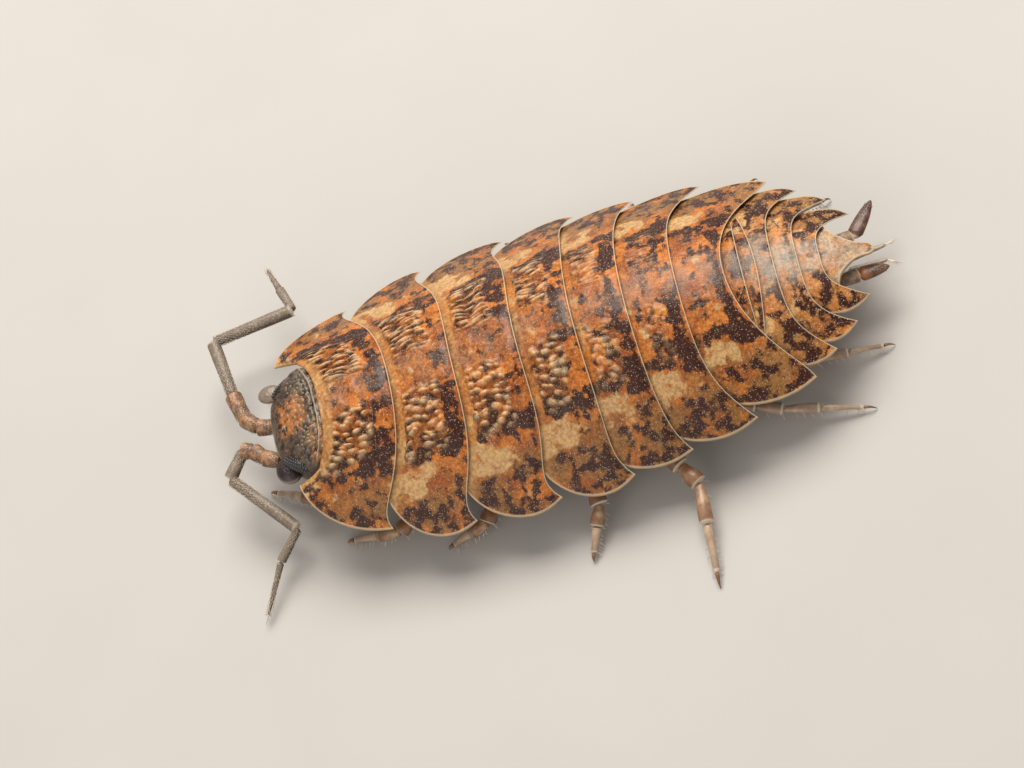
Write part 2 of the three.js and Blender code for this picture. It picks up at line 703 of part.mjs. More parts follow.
const box = new THREE.Box3().setFromObject(group);
group.position.set(-(box.min.x + box.max.x) / 2, -(box.min.y + box.max.y) / 2, -box.min.z);

export default group;
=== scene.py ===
"""A woodlouse at life size, standing with its head towards -Y and its left side on +X.

Places are in millimetres on the animal: y = 0 near the hind corners of the first plate, z = 0
on the floor. put() moves them into the frame, in metres.
"""

import math

import bpy
import numpy as np
from mathutils import Matrix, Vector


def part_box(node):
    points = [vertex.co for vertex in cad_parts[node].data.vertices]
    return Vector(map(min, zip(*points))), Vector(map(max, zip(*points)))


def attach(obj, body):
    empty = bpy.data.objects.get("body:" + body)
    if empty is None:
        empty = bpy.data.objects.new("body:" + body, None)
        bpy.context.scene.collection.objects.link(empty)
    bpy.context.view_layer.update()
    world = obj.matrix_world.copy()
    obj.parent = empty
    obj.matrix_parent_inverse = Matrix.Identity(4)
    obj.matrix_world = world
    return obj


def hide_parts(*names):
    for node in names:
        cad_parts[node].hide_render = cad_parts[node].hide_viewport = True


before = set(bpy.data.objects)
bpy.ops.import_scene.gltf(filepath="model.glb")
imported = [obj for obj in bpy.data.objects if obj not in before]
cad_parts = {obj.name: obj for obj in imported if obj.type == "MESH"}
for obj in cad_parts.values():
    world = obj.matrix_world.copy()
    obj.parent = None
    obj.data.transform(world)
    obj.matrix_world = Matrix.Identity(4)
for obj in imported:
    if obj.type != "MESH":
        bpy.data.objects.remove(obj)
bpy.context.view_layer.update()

MM = 0.001
SIDES = {"left": 1, "right": -1}

# Stations along the body: y, value
HALF_WIDTH = [
    (-2.1, 2.45), (-0.08, 3.1), (1.93, 3.55), (4.05, 3.64), (5.88, 3.67), (7.38, 3.53),
    (9.07, 3.29), (10.59, 2.8), (11.33, 2.25), (11.97, 1.72), (12.42, 1.14), (12.8, 0.95),
]
DOME_HEIGHT = [
    (-2.1, 0.95), (-0.9, 1.36), (0, 1.53), (2, 1.78), (4.1, 2), (6, 2.07), (8, 1.87),
    (9.5, 1.47), (10.6, 1.05), (11.6, 0.6), (12.8, 0.08),
]
EDGE_HEIGHT = [
    (-2.1, 1.62), (0, 1.49), (3, 1.39), (5.5, 1.36), (8, 1.4), (10.6, 1.51), (12.8, 1.6),
]
ROUND_DROP = 1.18
WIDEST_SHARE = 1.06
NECK_SHIFT = 0.018
NECK_START = 0.9
NOTCH_PLACE = 5.16
MARGIN_SWELL = 2.27
FIRST_SWELL = 1.8
COLLAR = {"y": -0.92, "bend": 0.13, "hook": 0.38, "start": 1.45, "width": 0.21}
TRUNK_SHARE = 0.52
BELLY_Z = 1.25

# Plates: y of the hind margin at its corner and on the midline, half width, forward notch,
# sweep power, width share of the hidden front, outward hook of the side margin
PLATE_KEYS = ("corner", "half", "middle", "notch", "power", "front", "hook")
PEREON = [
    (-0.08, 3.1, 0.93, 0.23, 2.11, 0.54, -0.05),
    (1.93, 3.55, 2.53, 0.25, 2.74, 0.6, 0.16),
    (4.05, 3.64, 4.18, 0.3, 6.14, 0.66, 0.25),
    (5.88, 3.67, 5.63, 0.15, 5.23, 0.66, 0.28),
    (7.38, 3.53, 6.94, 0.05, 5.41, 0.78, 0.19),
    (9.07, 3.29, 8.23, -0.07, 5.57, 0.77, 0.26),
    (10.68, 2.78, 9.35, -0.08, 2.15, 0.86, 0.34),
]
PLEON = [
    (9.72, 1.6, 9.765, 0, 3, 1, 0),
    (9.86, 1.65, 10.11, 0, 2, 1, 0),
    (11.33, 2.25, 10.51, -0.09, 6, 0.88, 0.3),
    (11.97, 1.72, 11.06, -0.01, 5.53, 0.82, 0.42),
    (12.42, 1.14, 11.56, -0.04, 4.49, 0.84, 0.4),
]
PEREON, PLEON = ([dict(zip(PLATE_KEYS, row)) for row in rows] for rows in (PEREON, PLEON))
PEREON[0]["swell"] = FIRST_SWELL
PLATE_OVERLAP = 0.4
TAIL_OVERLAP = 0.3

# The fourth plate fixes where the animal stands in the frame
fourth_low, fourth_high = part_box("pereonite_4")
SHIFT = np.array(
    [(fourth_low.x + fourth_high.x) / 2, fourth_high.y - PEREON[3]["corner"] * MM, 0.0]
)


# Small helpers
def put(points):
    """Points on the animal in millimetres as places in the frame in metres."""
    return np.asarray(points) * MM + SHIFT


def smooth(low, high, value):
    share = np.clip((value - low) / (high - low), 0, 1)
    return share * share * (3 - 2 * share)


def mix(a, b, share):
    return a + (b - a) * share


def unit(vector):
    return np.divide(vector, max(np.linalg.norm(vector), 1e-12))


def along(stations, y):
    """A smooth curve through stations."""
    places, values = np.array(stations, float).T
    last = len(places) - 1
    here = np.clip(y, places[0], places[-1])
    k = np.clip(np.searchsorted(places, here) - 1, 0, last - 1)
    own = np.arange(last + 1)
    before, after = np.maximum(own - 1, 0), np.minimum(own + 1, last)
    slope = (values[after] - values[before]) / (places[after] - places[before])
    length, jump = places[k + 1] - places[k], values[k + 1] - values[k]
    t = (here - places[k]) / length
    bend0, bend1 = slope[k] * length, slope[k + 1] * length
    cubic, square = bend0 + bend1 - 2 * jump, 3 * jump - 2 * bend0 - bend1
    return values[k] + t * (bend0 + t * (square + t * cubic))


def dome(x, y):
    """Height of the smooth back."""
    t = np.minimum(np.abs(x) / along(HALF_WIDTH, y), WIDEST_SHARE)
    fall = ROUND_DROP * t**2 - (ROUND_DROP - 1) * t**4
    return along(EDGE_HEIGHT, y) + along(DOME_HEIGHT, y) * (1 - fall)


def sway(y):
    """The head end stands a little to the right of the middle line."""
    return -NECK_SHIFT * np.maximum(NECK_START - y, 0) ** 2


def hind_margin(plate, x):
    t = np.clip(np.abs(x) / plate["half"], 0, 1)
    cut = plate["notch"] * np.sin(math.pi * t**NOTCH_PLACE)
    return mix(plate["middle"], plate["corner"], t ** plate["power"]) - cut


def collar(x):
    """y of the first plate's front edge, which ends in a hook round each side of the head."""
    hook = np.maximum((np.abs(x) - COLLAR["start"]) / COLLAR["width"], 0)
    return COLLAR["y"] - COLLAR["bend"] * np.abs(x) ** 3 - COLLAR["hook"] * hook**2


def side_margin(plate, u):
    """Half width of a plate from its front, 0, to its hind tip, 1."""
    full = plate["half"] + plate["hook"]
    power = plate.get("swell", MARGIN_SWELL)
    swell = (1 - (1 - u) ** power) ** (1 / power)
    return mix(plate["half"] * plate["front"], full, swell) - plate["hook"] * u**4


def chance(cells, seed):
    """A fixed number from 0 to 1 for each whole-numbered cell."""
    mixed = cells[..., 0] * 374761393 + cells[..., 1] * 668265263 + seed * 362437
    mixed = (mixed ^ (mixed >> 13)) * 1274126177
    return ((mixed ^ (mixed >> 16)) & 0xFFFF) / 0xFFFF


def noise(x, y, seed=0):
    """Smooth noise from 0 to 1 with features about one unit wide."""
    x, y = np.broadcast_arrays(x, y)
    cell = np.stack([np.floor(x), np.floor(y)], -1).astype(np.int64)
    fx, fy = smooth(0, 1, x - cell[..., 0]), smooth(0, 1, y - cell[..., 1])
    corner = [[chance(cell + (i, j), seed) for j in (0, 1)] for i in (0, 1)]
    return mix(mix(corner[0][0], corner[1][0], fx), mix(corner[0][1], corner[1][1], fx), fy)


def rough(x, y, seed=0):
    """Noise of three sizes, from 0 to 1."""
    total = noise(x, y, seed) * 4 + noise(x * 2.1, y * 2.1, seed + 1) * 2
    return (total + noise(x * 4.3, y * 4.3, seed + 2)) / 7


# Mesh building
def circle(count):
    """Angles of evenly spaced points round a circle."""
    return np.linspace(0, 2 * math.pi, count, endpoint=False)


class Form:
    """Points, faces and vertex masks that become one mesh."""

    def __init__(self):
        self.points, self.faces, self.masks, self.count = [], [], [], 0

    def add(self, points, faces, **masks):
        self.points.append(points)
        self.faces.append(faces + self.count)
        self.masks.append((len(points), masks))
        self.count += len(points)

    def mask(self, name):
        parts = [
            np.broadcast_to(np.asarray(masks.get(name, 0.0), float).ravel(), n)
            for n, masks in self.masks
        ]
        return np.concatenate(parts)


def make(name, form, material, slot, *replaces):
    """One piece of the animal from a form."""
    points = put(np.concatenate(form.points))
    faces = np.concatenate(form.faces)
    mesh = bpy.data.meshes.new(name)
    mesh.vertices.add(len(points))
    mesh.vertices.foreach_set("co", points.astype(np.float32).ravel())
    mesh.loops.add(faces.size)
    mesh.loops.foreach_set("vertex_index", faces.astype(np.int32).ravel())
    mesh.polygons.add(len(faces))
    mesh.polygons.foreach_set("loop_start", np.arange(0, faces.size, 3, dtype=np.int32))
    mesh.polygons.foreach_set("use_smooth", np.ones(len(faces), bool))
    mesh.update(calc_edges=True)
    for mask in sorted({key for _, masks in form.masks for key in masks}):
        layer = mesh.attributes.new(mask, "FLOAT", "POINT")
        layer.data.foreach_set("value", form.mask(mask).astype(np.float32))
    mesh.materials.append(material)
    piece = bpy.data.objects.new(name, mesh)
    bpy.context.scene.collection.objects.link(piece)
    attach(piece, "root")
    if replaces:
        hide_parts(*replaces)


def grid_faces(rows, columns, wrap=False):
    """Triangles over a grid of points."""
    r = np.arange(rows - 1)[:, None]
    c = np.arange(columns if wrap else columns - 1)[None, :]
    after = (c + 1) % columns
    a, b = r * columns + c, r * columns + after
    d, e = a + columns, b + columns
    first = np.stack([a, b, e], -1).reshape(-1, 3)
    second = np.stack([a, e, d], -1).reshape(-1, 3)
    return np.concatenate([first, second])


def sheet_body(top, bottom):
    """A closed body between two grids with the same outline. Both have the same number of
    points, so the rims join one to one."""
    rows, columns = top.shape[:2]
    count = rows * columns
    index, grid = np.arange(count).reshape(rows, columns), grid_faces(rows, columns)
    ring = np.concatenate([index[0], index[1:, -1], index[-1, -2::-1], index[-2:0:-1, 0]])
    after = np.roll(ring, -1)
    faces = [
        grid[:, ::-1], grid + count,
        np.stack([after, after + count, ring], -1),
        np.stack([after + count, ring + count, ring], -1),
    ]
    points = np.concatenate([top.reshape(-1, 3), bottom.reshape(-1, 3)])
    return points, np.concatenate(faces)


def tube(rings):
    """A closed body through rings of points, closed by a fan at each end."""
    rings = np.asarray(rings)
    count, sides = rings.shape[:2]
    k = np.arange(sides)
    after, end, middle = (k + 1) % sides, (count - 1) * sides, np.full(sides, count * sides)
    faces = [
        grid_faces(count, sides, wrap=True),
        np.stack([after, k, middle], -1),
        np.stack([end + k, end + after, middle + 1], -1),
    ]
    points = np.concatenate([rings.reshape(-1, 3), [rings[0].mean(0)], [rings[-1].mean(0)]])
    return points, np.concatenate(faces)


def egg(centre, radii, axes=np.eye(3), rings=12, sides=20):
    """An ellipsoid. axes holds its three directions as rows."""
    lat, lon = np.linspace(-math.pi / 2, math.pi / 2, rings + 2)[1:-1, None], circle(sides)
    ball = [np.cos(lat) * np.cos(lon), np.cos(lat) * np.sin(lon), np.sin(lat) + 0 * lon]
    points, faces = tube(np.stack(ball, -1))
    points[-2], points[-1] = (0, 0, -1), (0, 0, 1)
    return (points * radii) @ axes + centre, faces


def frame_on(direction):
    """Aside and up directions of a limb that runs along a direction."""
    direction = unit(direction)
    aside = np.cross(direction, (0, 0, 1))
    if np.linalg.norm(aside) < 1e-3:
        aside = np.cross(direction, (1, 0, 0))
    aside = unit(aside)
    return aside, np.cross(aside, direction)


def article(start, end, profile, flat=1.0, sides=20, rings=22, bow=0.0):
    """One limb joint from start to end, with the share along it and the angle round it of each
    point. profile gives its radius, flat its height against its width, bow how far it lifts."""
    aside, up = frame_on(end - start)
    share = 0.5 - 0.5 * np.cos(np.linspace(0, math.pi, rings))
    radius = np.maximum(profile(share), 1e-3)[:, None, None]
    angle = circle(sides)[None, :, None]
    middle = start + (end - start) * share[:, None]
    middle = middle + up * (bow * np.sin(math.pi * share))[:, None]
    ring = aside * np.cos(angle) + up * np.sin(angle) * flat
    body = tube(middle[:, None, :] + ring * radius)
    lengthwise = np.concatenate([np.repeat(share, sides), [0, 1]])
    return body, lengthwise, np.concatenate([np.tile(angle.ravel(), rings), [0, 0]])


# Places along a thorn and its thickness there
THORN_TAPER = ((0, 1), (0.5, 0.7), (1, 0.12))


def thorn(form, base, tip, radius, **masks):
    """A fine tapered spine or hair with its root sunk in."""
    aside, up = frame_on(tip - base)
    angle = circle(5)[:, None]
    ring = aside * np.cos(angle) + up * np.sin(angle)
    rings = [mix(base, tip, share) + ring * radius * size for share, size in THORN_TAPER]
    form.add(*tube(rings), **masks)


# Materials
class Paint:
    """A node material built with short calls. Scales are in features for each millimetre."""

    def __init__(self, name, roughness, specular=0.5, coat=0.0, coat_roughness=0.03):
        self.material = bpy.data.materials.new(name)
        self.material.use_nodes = True
        self.tree = self.material.node_tree
        self.shader = self.tree.nodes["Principled BSDF"].inputs
        self.shader["Roughness"].default_value = roughness
        self.shader["Specular IOR Level"].default_value = specular
        self.shader["Coat Weight"].default_value = coat
        self.shader["Coat Roughness"].default_value = coat_roughness
        self.place = self.tree.nodes.new("ShaderNodeTexCoord").outputs["Object"]

    def node(self, kind, inputs, **settings):
        made = self.tree.nodes.new("ShaderNode" + kind)
        for key, value in settings.items():
            setattr(made, key, value)
        for key, value in inputs.items():
            self.feed(made.inputs[key], value)
        return made

    def feed(self, socket, value):
        """Set or link an input. A string stands for the vertex mask of that name."""
        if isinstance(value, str):
            value = self.node("Attribute", {}, attribute_name=value).outputs["Fac"]
        if isinstance(value, bpy.types.NodeSocket):
            self.tree.links.new(value, socket)
        else:
            socket.default_value = (*value, 1) if socket.type == "RGBA" else value

    def noise(self, per_mm, detail=3.0, seed=0.0):
        place = self.place
        if seed:
            inputs = {"Vector": place, "Location": (seed * MM, seed * MM * 2, 0)}
            place = self.node("Mapping", inputs).outputs[0]
        inputs = {"Vector": place, "Scale": per_mm / MM, "Detail": detail, "Roughness": 0.55}
        return self.node("TexNoise", inputs).outputs[0]

    def cells(self, per_mm):
        inputs = {"Vector": self.place, "Scale": per_mm / MM}
        return self.node("TexVoronoi", inputs).outputs["Distance"]

    def step(self, value, low, high, to_low=0.0, to_high=1.0):
        ends = {"From Min": low, "From Max": high, "To Min": to_low, "To Max": to_high}
        made = self.node("MapRange", {"Value": value, **ends}, interpolation_type="SMOOTHSTEP")
        return made.outputs[0]

    def patches(self, per_mm, detail, low, high, seed=0.0):
        """Noise with a soft threshold, from 0 to 1."""
        return self.step(self.noise(per_mm, detail, seed), low, high)

    def dots(self, per_mm, full, gone, strength=1.0):
        """Round dots, one for each cell. full and gone are their radii in cells."""
        return self.step(self.cells(per_mm), full, gone, strength, 0.0)

    def maths(self, operation, a, b, clamped=True):
        inputs = {0: a, 1: b}
        return self.node("Math", inputs, operation=operation, use_clamp=clamped).outputs[0]

    def times(self, a, b):
        return self.maths("MULTIPLY", a, b, False)

    def blend(self, share, a, b, kind="MIX"):
        inputs = {0: share, 6: a, 7: b}
        return self.node("Mix", inputs, data_type="RGBA", blend_type=kind).outputs[2]

    def bump(self, height, strength, depth_mm, **before):
        inputs = {"Height": height, "Strength": strength, "Distance": depth_mm * MM, **before}
        return self.node("Bump", inputs).outputs[0]

    def base(self, share, a, b):
        self.color = self.blend(share, a, b)

    def over(self, share, color, kind="MIX"):
        """Lay a colour over what is painted so far."""
        self.color = self.blend(share, self.color, color, kind)

    def finish(self, normal, roughness=None):
        self.feed(self.shader["Base Color"], self.color)
        self.feed(self.shader["Normal"], normal)
        if roughness is not None:
            self.feed(self.shader["Roughness"], roughness)
        return self.material


# Colours of the shell, most of them used by shell_paint alone
ORANGE = (0.6, 0.185, 0.022)
RUST = (0.33, 0.085, 0.014)
OCHRE = (0.29, 0.125, 0.03)
TAN = (0.62, 0.37, 0.15)
# Cream for the small specks; the same cream also lights the rib tops as a painted highlight.
CREAM = (0.86, 0.6, 0.34)
UMBER = (0.048, 0.011, 0.005)
# Painted shade: the next colour darkens the grooves between the ribs.
GROOVE_SHADE = (0.06, 0.018, 0.005)
# Painted reflection: the next colour is the grey sheen laid down the middle of the back.
SHEEN_SLATE = (0.17, 0.12, 0.09)
BAND_TAN = (0.52, 0.27, 0.09)
TAIL_TAN = (0.66, 0.36, 0.14)
# Painted reflection: the next colour is the paler grey sheen on the middle of the hind end.
TAIL_SHEEN_GREY = (0.46, 0.39, 0.3)
RIB_TOP = (0.85, 0.5, 0.22)
RIM = (0.62, 0.47, 0.3)
PEARL = (0.6, 0.5, 0.36)
BONE = (0.72, 0.62, 0.48)
WHITE = (1, 1, 1)
GRAIN_SHADE = (0.4, 0.36, 0.34)


def shell_paint():
    """Marbled cuticle. Masks: dark and pale push the marbling, field and rib hold the ridges,
    with painted shade in their grooves and a painted highlight on their tops, hind and
    side_edge are distances to the margins in millimetres, side the share from the midline,
    grey a painted sheen, a reflection, down the middle, plain a smooth front band, tail the
    paler hind end."""
    paint = Paint("shell", roughness=0.36, specular=0.27, coat=0.06, coat_roughness=0.22)
    paint.base(paint.patches(1.7, 4, 0.4, 0.6), ORANGE, RUST)
    flank = paint.step("side", 0.55, 0.85)
    paint.over(paint.times(flank, paint.patches(1.3, 3, 0.36, 0.56, 7)), OCHRE)
    pale = paint.maths("ADD", paint.noise(2.6, 5, 3), "pale")
    paint.over(paint.step(pale, 0.58, 0.72), TAN)
    paint.over(paint.times("tail", 0.35), TAIL_TAN)
    dark = paint.maths("ADD", paint.noise(3.4, 7, 11), "dark")
    paint.over(paint.step(dark, 0.52, 0.63), UMBER)
    # Painted reflection: a grey sheen down the middle of the back, broken up by noise.
    grey = paint.times("grey", paint.patches(2.2, 4, 0.3, 0.6, 21))
    paint.over(grey, paint.blend("tail", SHEEN_SLATE, TAIL_SHEEN_GREY))
    # Painted light on the ribs: grooves are darkened as painted shade, and the tops are lightened
    # to cream as a painted highlight.
    groove, slope = paint.blend(0.5, paint.color, GROOVE_SHADE), paint.blend(0.2, paint.color, RIB_TOP)
    ribs_shade_and_highlight = paint.blend(paint.step("rib", 0.1, 0.55), groove, slope)
    ribs_shade_and_highlight = paint.blend(paint.step("rib", 0.55, 1.0, 0.0, 0.55), ribs_shade_and_highlight, CREAM)
    paint.over("field", ribs_shade_and_highlight)
    paint.over(paint.times("plain", 0.7), BAND_TAN)
    grain = paint.noise(12, 5, 5)
    shade = paint.blend(paint.step(grain, 0.36, 0.64), GRAIN_SHADE, WHITE)
    paint.over(0.6, shade, "MULTIPLY")
    spotted = paint.maths("SUBTRACT", 1.0, "plain")
    dots = paint.times(paint.dots(13, 0.1, 0.22), spotted)
    paint.over(paint.times(dots, paint.step("tail", 0.0, 1.0, 0.55, 0.85)), BONE)
    specks = paint.times(paint.dots(19, 0.16, 0.32), spotted)
    paint.over(paint.times(specks, 0.2), CREAM)
    paint.over(paint.step("hind", 0.012, 0.028, 0.75, 0.0), PEARL)
    paint.over(paint.step("side_edge", 0.016, 0.05, 0.75, 0.0), RIM)
    normal = paint.bump(dots, 0.5, 0.015, Normal=paint.bump(grain, 0.45, 0.03))
    return paint.finish(normal, paint.step(paint.noise(6, 3, 5), 0.3, 0.7, 0.3, 0.5))


HEAD_COLORS = {
    "brown": (0.085, 0.048, 0.024), "dark": (0.022, 0.011, 0.007), "warm": (0.4, 0.14, 0.03),
    "fleck": (0.3, 0.19, 0.1), "lobe": (0.022, 0.009, 0.012), "flap": (0.2, 0.15, 0.11),
}


def head_paint():
    """Grainy capsule. Masks: warm an orange middle, pale ridges and rims, with the pale front
    rim a painted highlight, lobe a glossy side, flap a pale side."""
    paint = Paint("head_shell", roughness=0.38, coat=0.15, coat_roughness=0.25)
    tone = HEAD_COLORS
    grain = paint.cells(11)
    paint.base(paint.patches(4, 5, 0.4, 0.6), tone["brown"], tone["dark"])
    paint.over(paint.times("warm", paint.patches(6, 4, 0.4, 0.56, 4)), tone["warm"])
    strength = paint.step(paint.noise(5, 3, 9), 0.35, 0.62, 0.06, 0.5)
    paint.over(paint.times(paint.dots(11, 0.1, 0.34), strength), tone["fleck"])
    paint.over("lobe", tone["lobe"])
    paint.over("flap", tone["flap"])
    paint.over("pale", PEARL)
    return paint.finish(paint.bump(grain, 0.5, -0.03))


EYE_COLORS = (0.005, 0.004, 0.005), (0.018, 0.012, 0.011)


def eye_paint():
    paint = Paint("eye", roughness=0.18, specular=1.0)
    paint.base(paint.noise(20, 2), *EYE_COLORS)
    return paint.finish(paint.bump(paint.noise(60, 2), 0.1, 0.005))


FEELER_COLORS = {
    "brown": (0.12, 0.08, 0.055), "dark": (0.05, 0.03, 0.022), "light": (0.34, 0.27, 0.2),
    "warm": (0.4, 0.19, 0.08), "warm_dark": (0.17, 0.07, 0.035), "scale": (0.5, 0.43, 0.33),
    "pale": (0.58, 0.5, 0.4),
}


def feeler_paint():
    """Scaly limb. Masks: light an upper stripe, warm the orange root, pale rings and scales."""
    paint = Paint("feeler", roughness=0.42)
    tone = FEELER_COLORS
    paint.base(paint.patches(4, 4, 0.35, 0.65), tone["brown"], tone["dark"])
    paint.over(paint.times("light", 0.45), tone["light"])
    warm = paint.blend(paint.patches(7, 4, 0.42, 0.56, 6), tone["warm"], tone["warm_dark"])
    paint.over("warm", warm)
    paint.over(paint.times(paint.dots(17, 0.16, 0.38), 0.5), tone["scale"])
    paint.over("pale", tone["pale"])
    return paint.finish(paint.bump(paint.cells(17), 0.5, -0.02))


LEG_COLORS = {
    "tan": (0.46, 0.31, 0.19), "brown": (0.27, 0.14, 0.075), "warm": (0.3, 0.12, 0.045),
    "dark": (0.16, 0.075, 0.04), "pale": (0.66, 0.56, 0.44),
}


def leg_paint():
    """Thin clear cuticle over brown flesh. Masks: dark, pale rings, warm a brown root."""
    paint = Paint("leg", roughness=0.34, coat=0.1)
    tone = LEG_COLORS
    paint.base(paint.patches(5, 5, 0.36, 0.62), tone["tan"], tone["brown"])
    for mask in ("warm", "dark", "pale"):
        paint.over(mask, tone[mask])
    return paint.finish(paint.bump(paint.noise(18, 3), 0.3, 0.02))


CLAW_COLORS = (0.12, 0.05, 0.02), (0.3, 0.16, 0.07)


def claw_paint():
    paint = Paint("claw", roughness=0.25)
    paint.base(paint.noise(9, 3), *CLAW_COLORS)
    return paint.finish(paint.bump(paint.noise(30, 2), 0.1, 0.01))


BELLY_COLORS = (0.5, 0.4, 0.3), (0.32, 0.22, 0.15)


def belly_paint():
    paint = Paint("belly", roughness=0.5)
    paint.base(paint.patches(1.5, 4, 0.35, 0.65), *BELLY_COLORS)
    return paint.finish(paint.bump(paint.noise(9, 4), 0.4, 0.03))


TAIL_COLORS = {
    "dark": (0.075, 0.032, 0.022), "brown": (0.15, 0.07, 0.04), "warm": (0.34, 0.13, 0.035),
    "tan": (0.34, 0.2, 0.1), "grey": (0.14, 0.11, 0.09), "speck": (0.4, 0.3, 0.2),
}


def tail_paint():
    """Tail limbs. Masks: warm an orange root, stalk a greyer stalk, pale rims and hairs."""
    paint = Paint("tail_blade", roughness=0.36)
    tone = TAIL_COLORS
    paint.base(paint.patches(4.5, 5, 0.4, 0.62), tone["dark"], tone["brown"])
    paint.over(paint.times("warm", 0.7), tone["warm"])
    mottle = paint.patches(7, 4, 0.4, 0.6, 8)
    paint.over("stalk", paint.blend(mottle, tone["tan"], tone["grey"]))
    paint.over(paint.dots(16, 0.12, 0.3, 0.35), tone["speck"])
    paint.over("pale", BONE)
    return paint.finish(paint.bump(paint.noise(16, 3), 0.35, 0.02))


SHELL, HEAD, EYE = shell_paint(), head_paint(), eye_paint()
FEELER, LEG, CLAW = feeler_paint(), leg_paint(), claw_paint()
BELLY, TAIL = belly_paint(), tail_paint()


# Floor, light and camera
CAMERA_PLACE = (85.531, 29.956, 146.602)
CAMERA_RIGHT = (0.19865, 0.93700, -0.28736)
CAMERA_DOWN = (0.84284, -0.31296, -0.43781)
CAMERA_LENS = 250.1
# Lights: name, direction, distance, size, watts
LIGHTS = [
    ("sky_panel", (-0.55, 0.1, 0.83), 130, 90, 0.24),
    ("front_fill", (0.75, -0.45, 0.55), 150, 120, 0.07),
]
LIGHT_AIM = (0, 4.5, 1.5)
LIGHT_COLOR = (1, 0.95, 0.88)
SKY_COLOR, SKY_STRENGTH = (1, 0.97, 0.93, 1), 0.36
SENSOR_WIDTH = 36
FLOOR_COLORS = (0.5, 0.48, 0.455), (0.54, 0.52, 0.495)


def stand(name, data, *columns):
    """A camera or lamp. columns are its three axes and its place."""
    made = bpy.data.objects.new(name, data)
    bpy.context.scene.collection.objects.link(made)
    made.matrix_world = Matrix([*np.stack(columns, 1).tolist(), (0, 0, 0, 1)])
    return made


def build_camera():
    data = bpy.data.cameras.new("camera")
    data.lens = CAMERA_LENS
    data.sensor_width = SENSOR_WIDTH
    data.clip_start, data.clip_end = 0.01, 10
    right, down = np.array(CAMERA_RIGHT), np.array(CAMERA_DOWN)
    axes = right, -down, -np.cross(right, down)
    bpy.context.scene.camera = stand("camera", data, *axes, put(CAMERA_PLACE))


def build_lights():
    for name, direction, distance, size, watts in LIGHTS:
        data = bpy.data.lights.new(name, "AREA")
        data.size, data.energy, data.color = size * MM, watts, LIGHT_COLOR
        way = unit(direction)
        stand(name, data, *frame_on(-way), way, put(LIGHT_AIM) + way * distance * MM)
    world = bpy.data.worlds.new("studio")
    world.use_nodes = True
    sky = world.node_tree.nodes["Background"].inputs
    sky["Color"].default_value, sky["Strength"].default_value = SKY_COLOR, SKY_STRENGTH
    bpy.context.scene.world = world
    bpy.context.scene.view_settings.view_transform = "Standard"


def build_floor():
    paint = Paint("floor", roughness=0.8, specular=0.2)
    paint.base(paint.noise(0.2, 3), *FLOOR_COLORS)
    bpy.ops.mesh.primitive_plane_add(size=2)
    floor = bpy.context.object
    floor.name = "floor"
    floor.data.materials.append(paint.finish(paint.bump(paint.noise(4, 4), 0.1, 0.02)))


# Shell plates. RIB_STRENGTH and BAND_STRENGTH go from the first body plate to the last.
STEP = 0.15
RIM_THICK = 0.04
BODY_THICK = 0.11
RIB_HEIGHT = 0.1
RIB_STRENGTH = (1, 1, 0.95, 0.75, 0.4, 0.22, 0.12)
BAND_STRENGTH = (1, 0.8, 0.7, 0.5, 0.25, 0.15, 0.1)
FRONT_BAND = (0.21, 0.345)
KNOB_HEIGHT = 0.02
WAVE_HEIGHT = 0.025
BEAD_HEIGHT = 0.016
RIM_DROP = 0.035
RIM_WIDTH = 0.24
SLOPE_STEP = 0.01
EDGE_REACH = 0.6
LEAST_OPEN = 0.3
OUTLINE_POINTS = 400
PLATE_GRID = (110, 400)
TAIL_GRID = (50, 190)
WART_SIZE = (0.16, 0.29)
RIDGE_SIZE = (0.115, 0.45)


def spread(count, dense_start, dense_end):
    """Shares from 0 to 1, closer together near the ends asked for."""
    share = np.linspace(0, 1, count)
    share = share - dense_start * np.sin(2 * math.pi * np.minimum(share, 0.5)) / 8
    share = share - dense_end * np.sin(2 * math.pi * np.maximum(share, 0.5)) / 8
    return (share - share[0]) / (share[-1] - share[0])


def plate_points(plate, front_of, cover_of, rows, columns):
    """Plan of one plate: x, y, the share from the cover line to the hind margin, and the
    distances to the hind margin and to the side margin."""
    u, s = spread(rows, 0, 0.8)[:, None], 2 * spread(columns, 0.6, 0.6)[None, :] - 1
    wide = side_margin(plate, u)
    x = s * wide
    front = front_of(s * side_margin(plate, 0.0))
    rear = hind_margin(plate, s * plate["half"])
    y = mix(front, rear, u)
    cover = cover_of(x)
    opened = np.clip((y - cover) / np.maximum(rear - cover, LEAST_OPEN), 0, 1)
    ahead, behind = hind_margin(plate, x + SLOPE_STEP), hind_margin(plate, x - SLOPE_STEP)
    slope = (ahead - behind) / (2 * SLOPE_STEP)
    hind = (hind_margin(plate, x) - y) / np.sqrt(1 + slope**2)
    side_edge = wide - np.abs(x)
    close = side_edge < EDGE_REACH
    fine = np.linspace(0, 1, OUTLINE_POINTS)
    outline_x = side_margin(plate, fine)
    outline_y = mix(front_of(side_margin(plate, 0.0)), plate["corner"], fine)
    gap_x = np.abs(x[close])[:, None] - outline_x
    gap_y = y[close][:, None] - outline_y
    side_edge[close] = np.sqrt((gap_x**2 + gap_y**2).min(1))
    return x, y, opened, np.abs(hind), side_edge


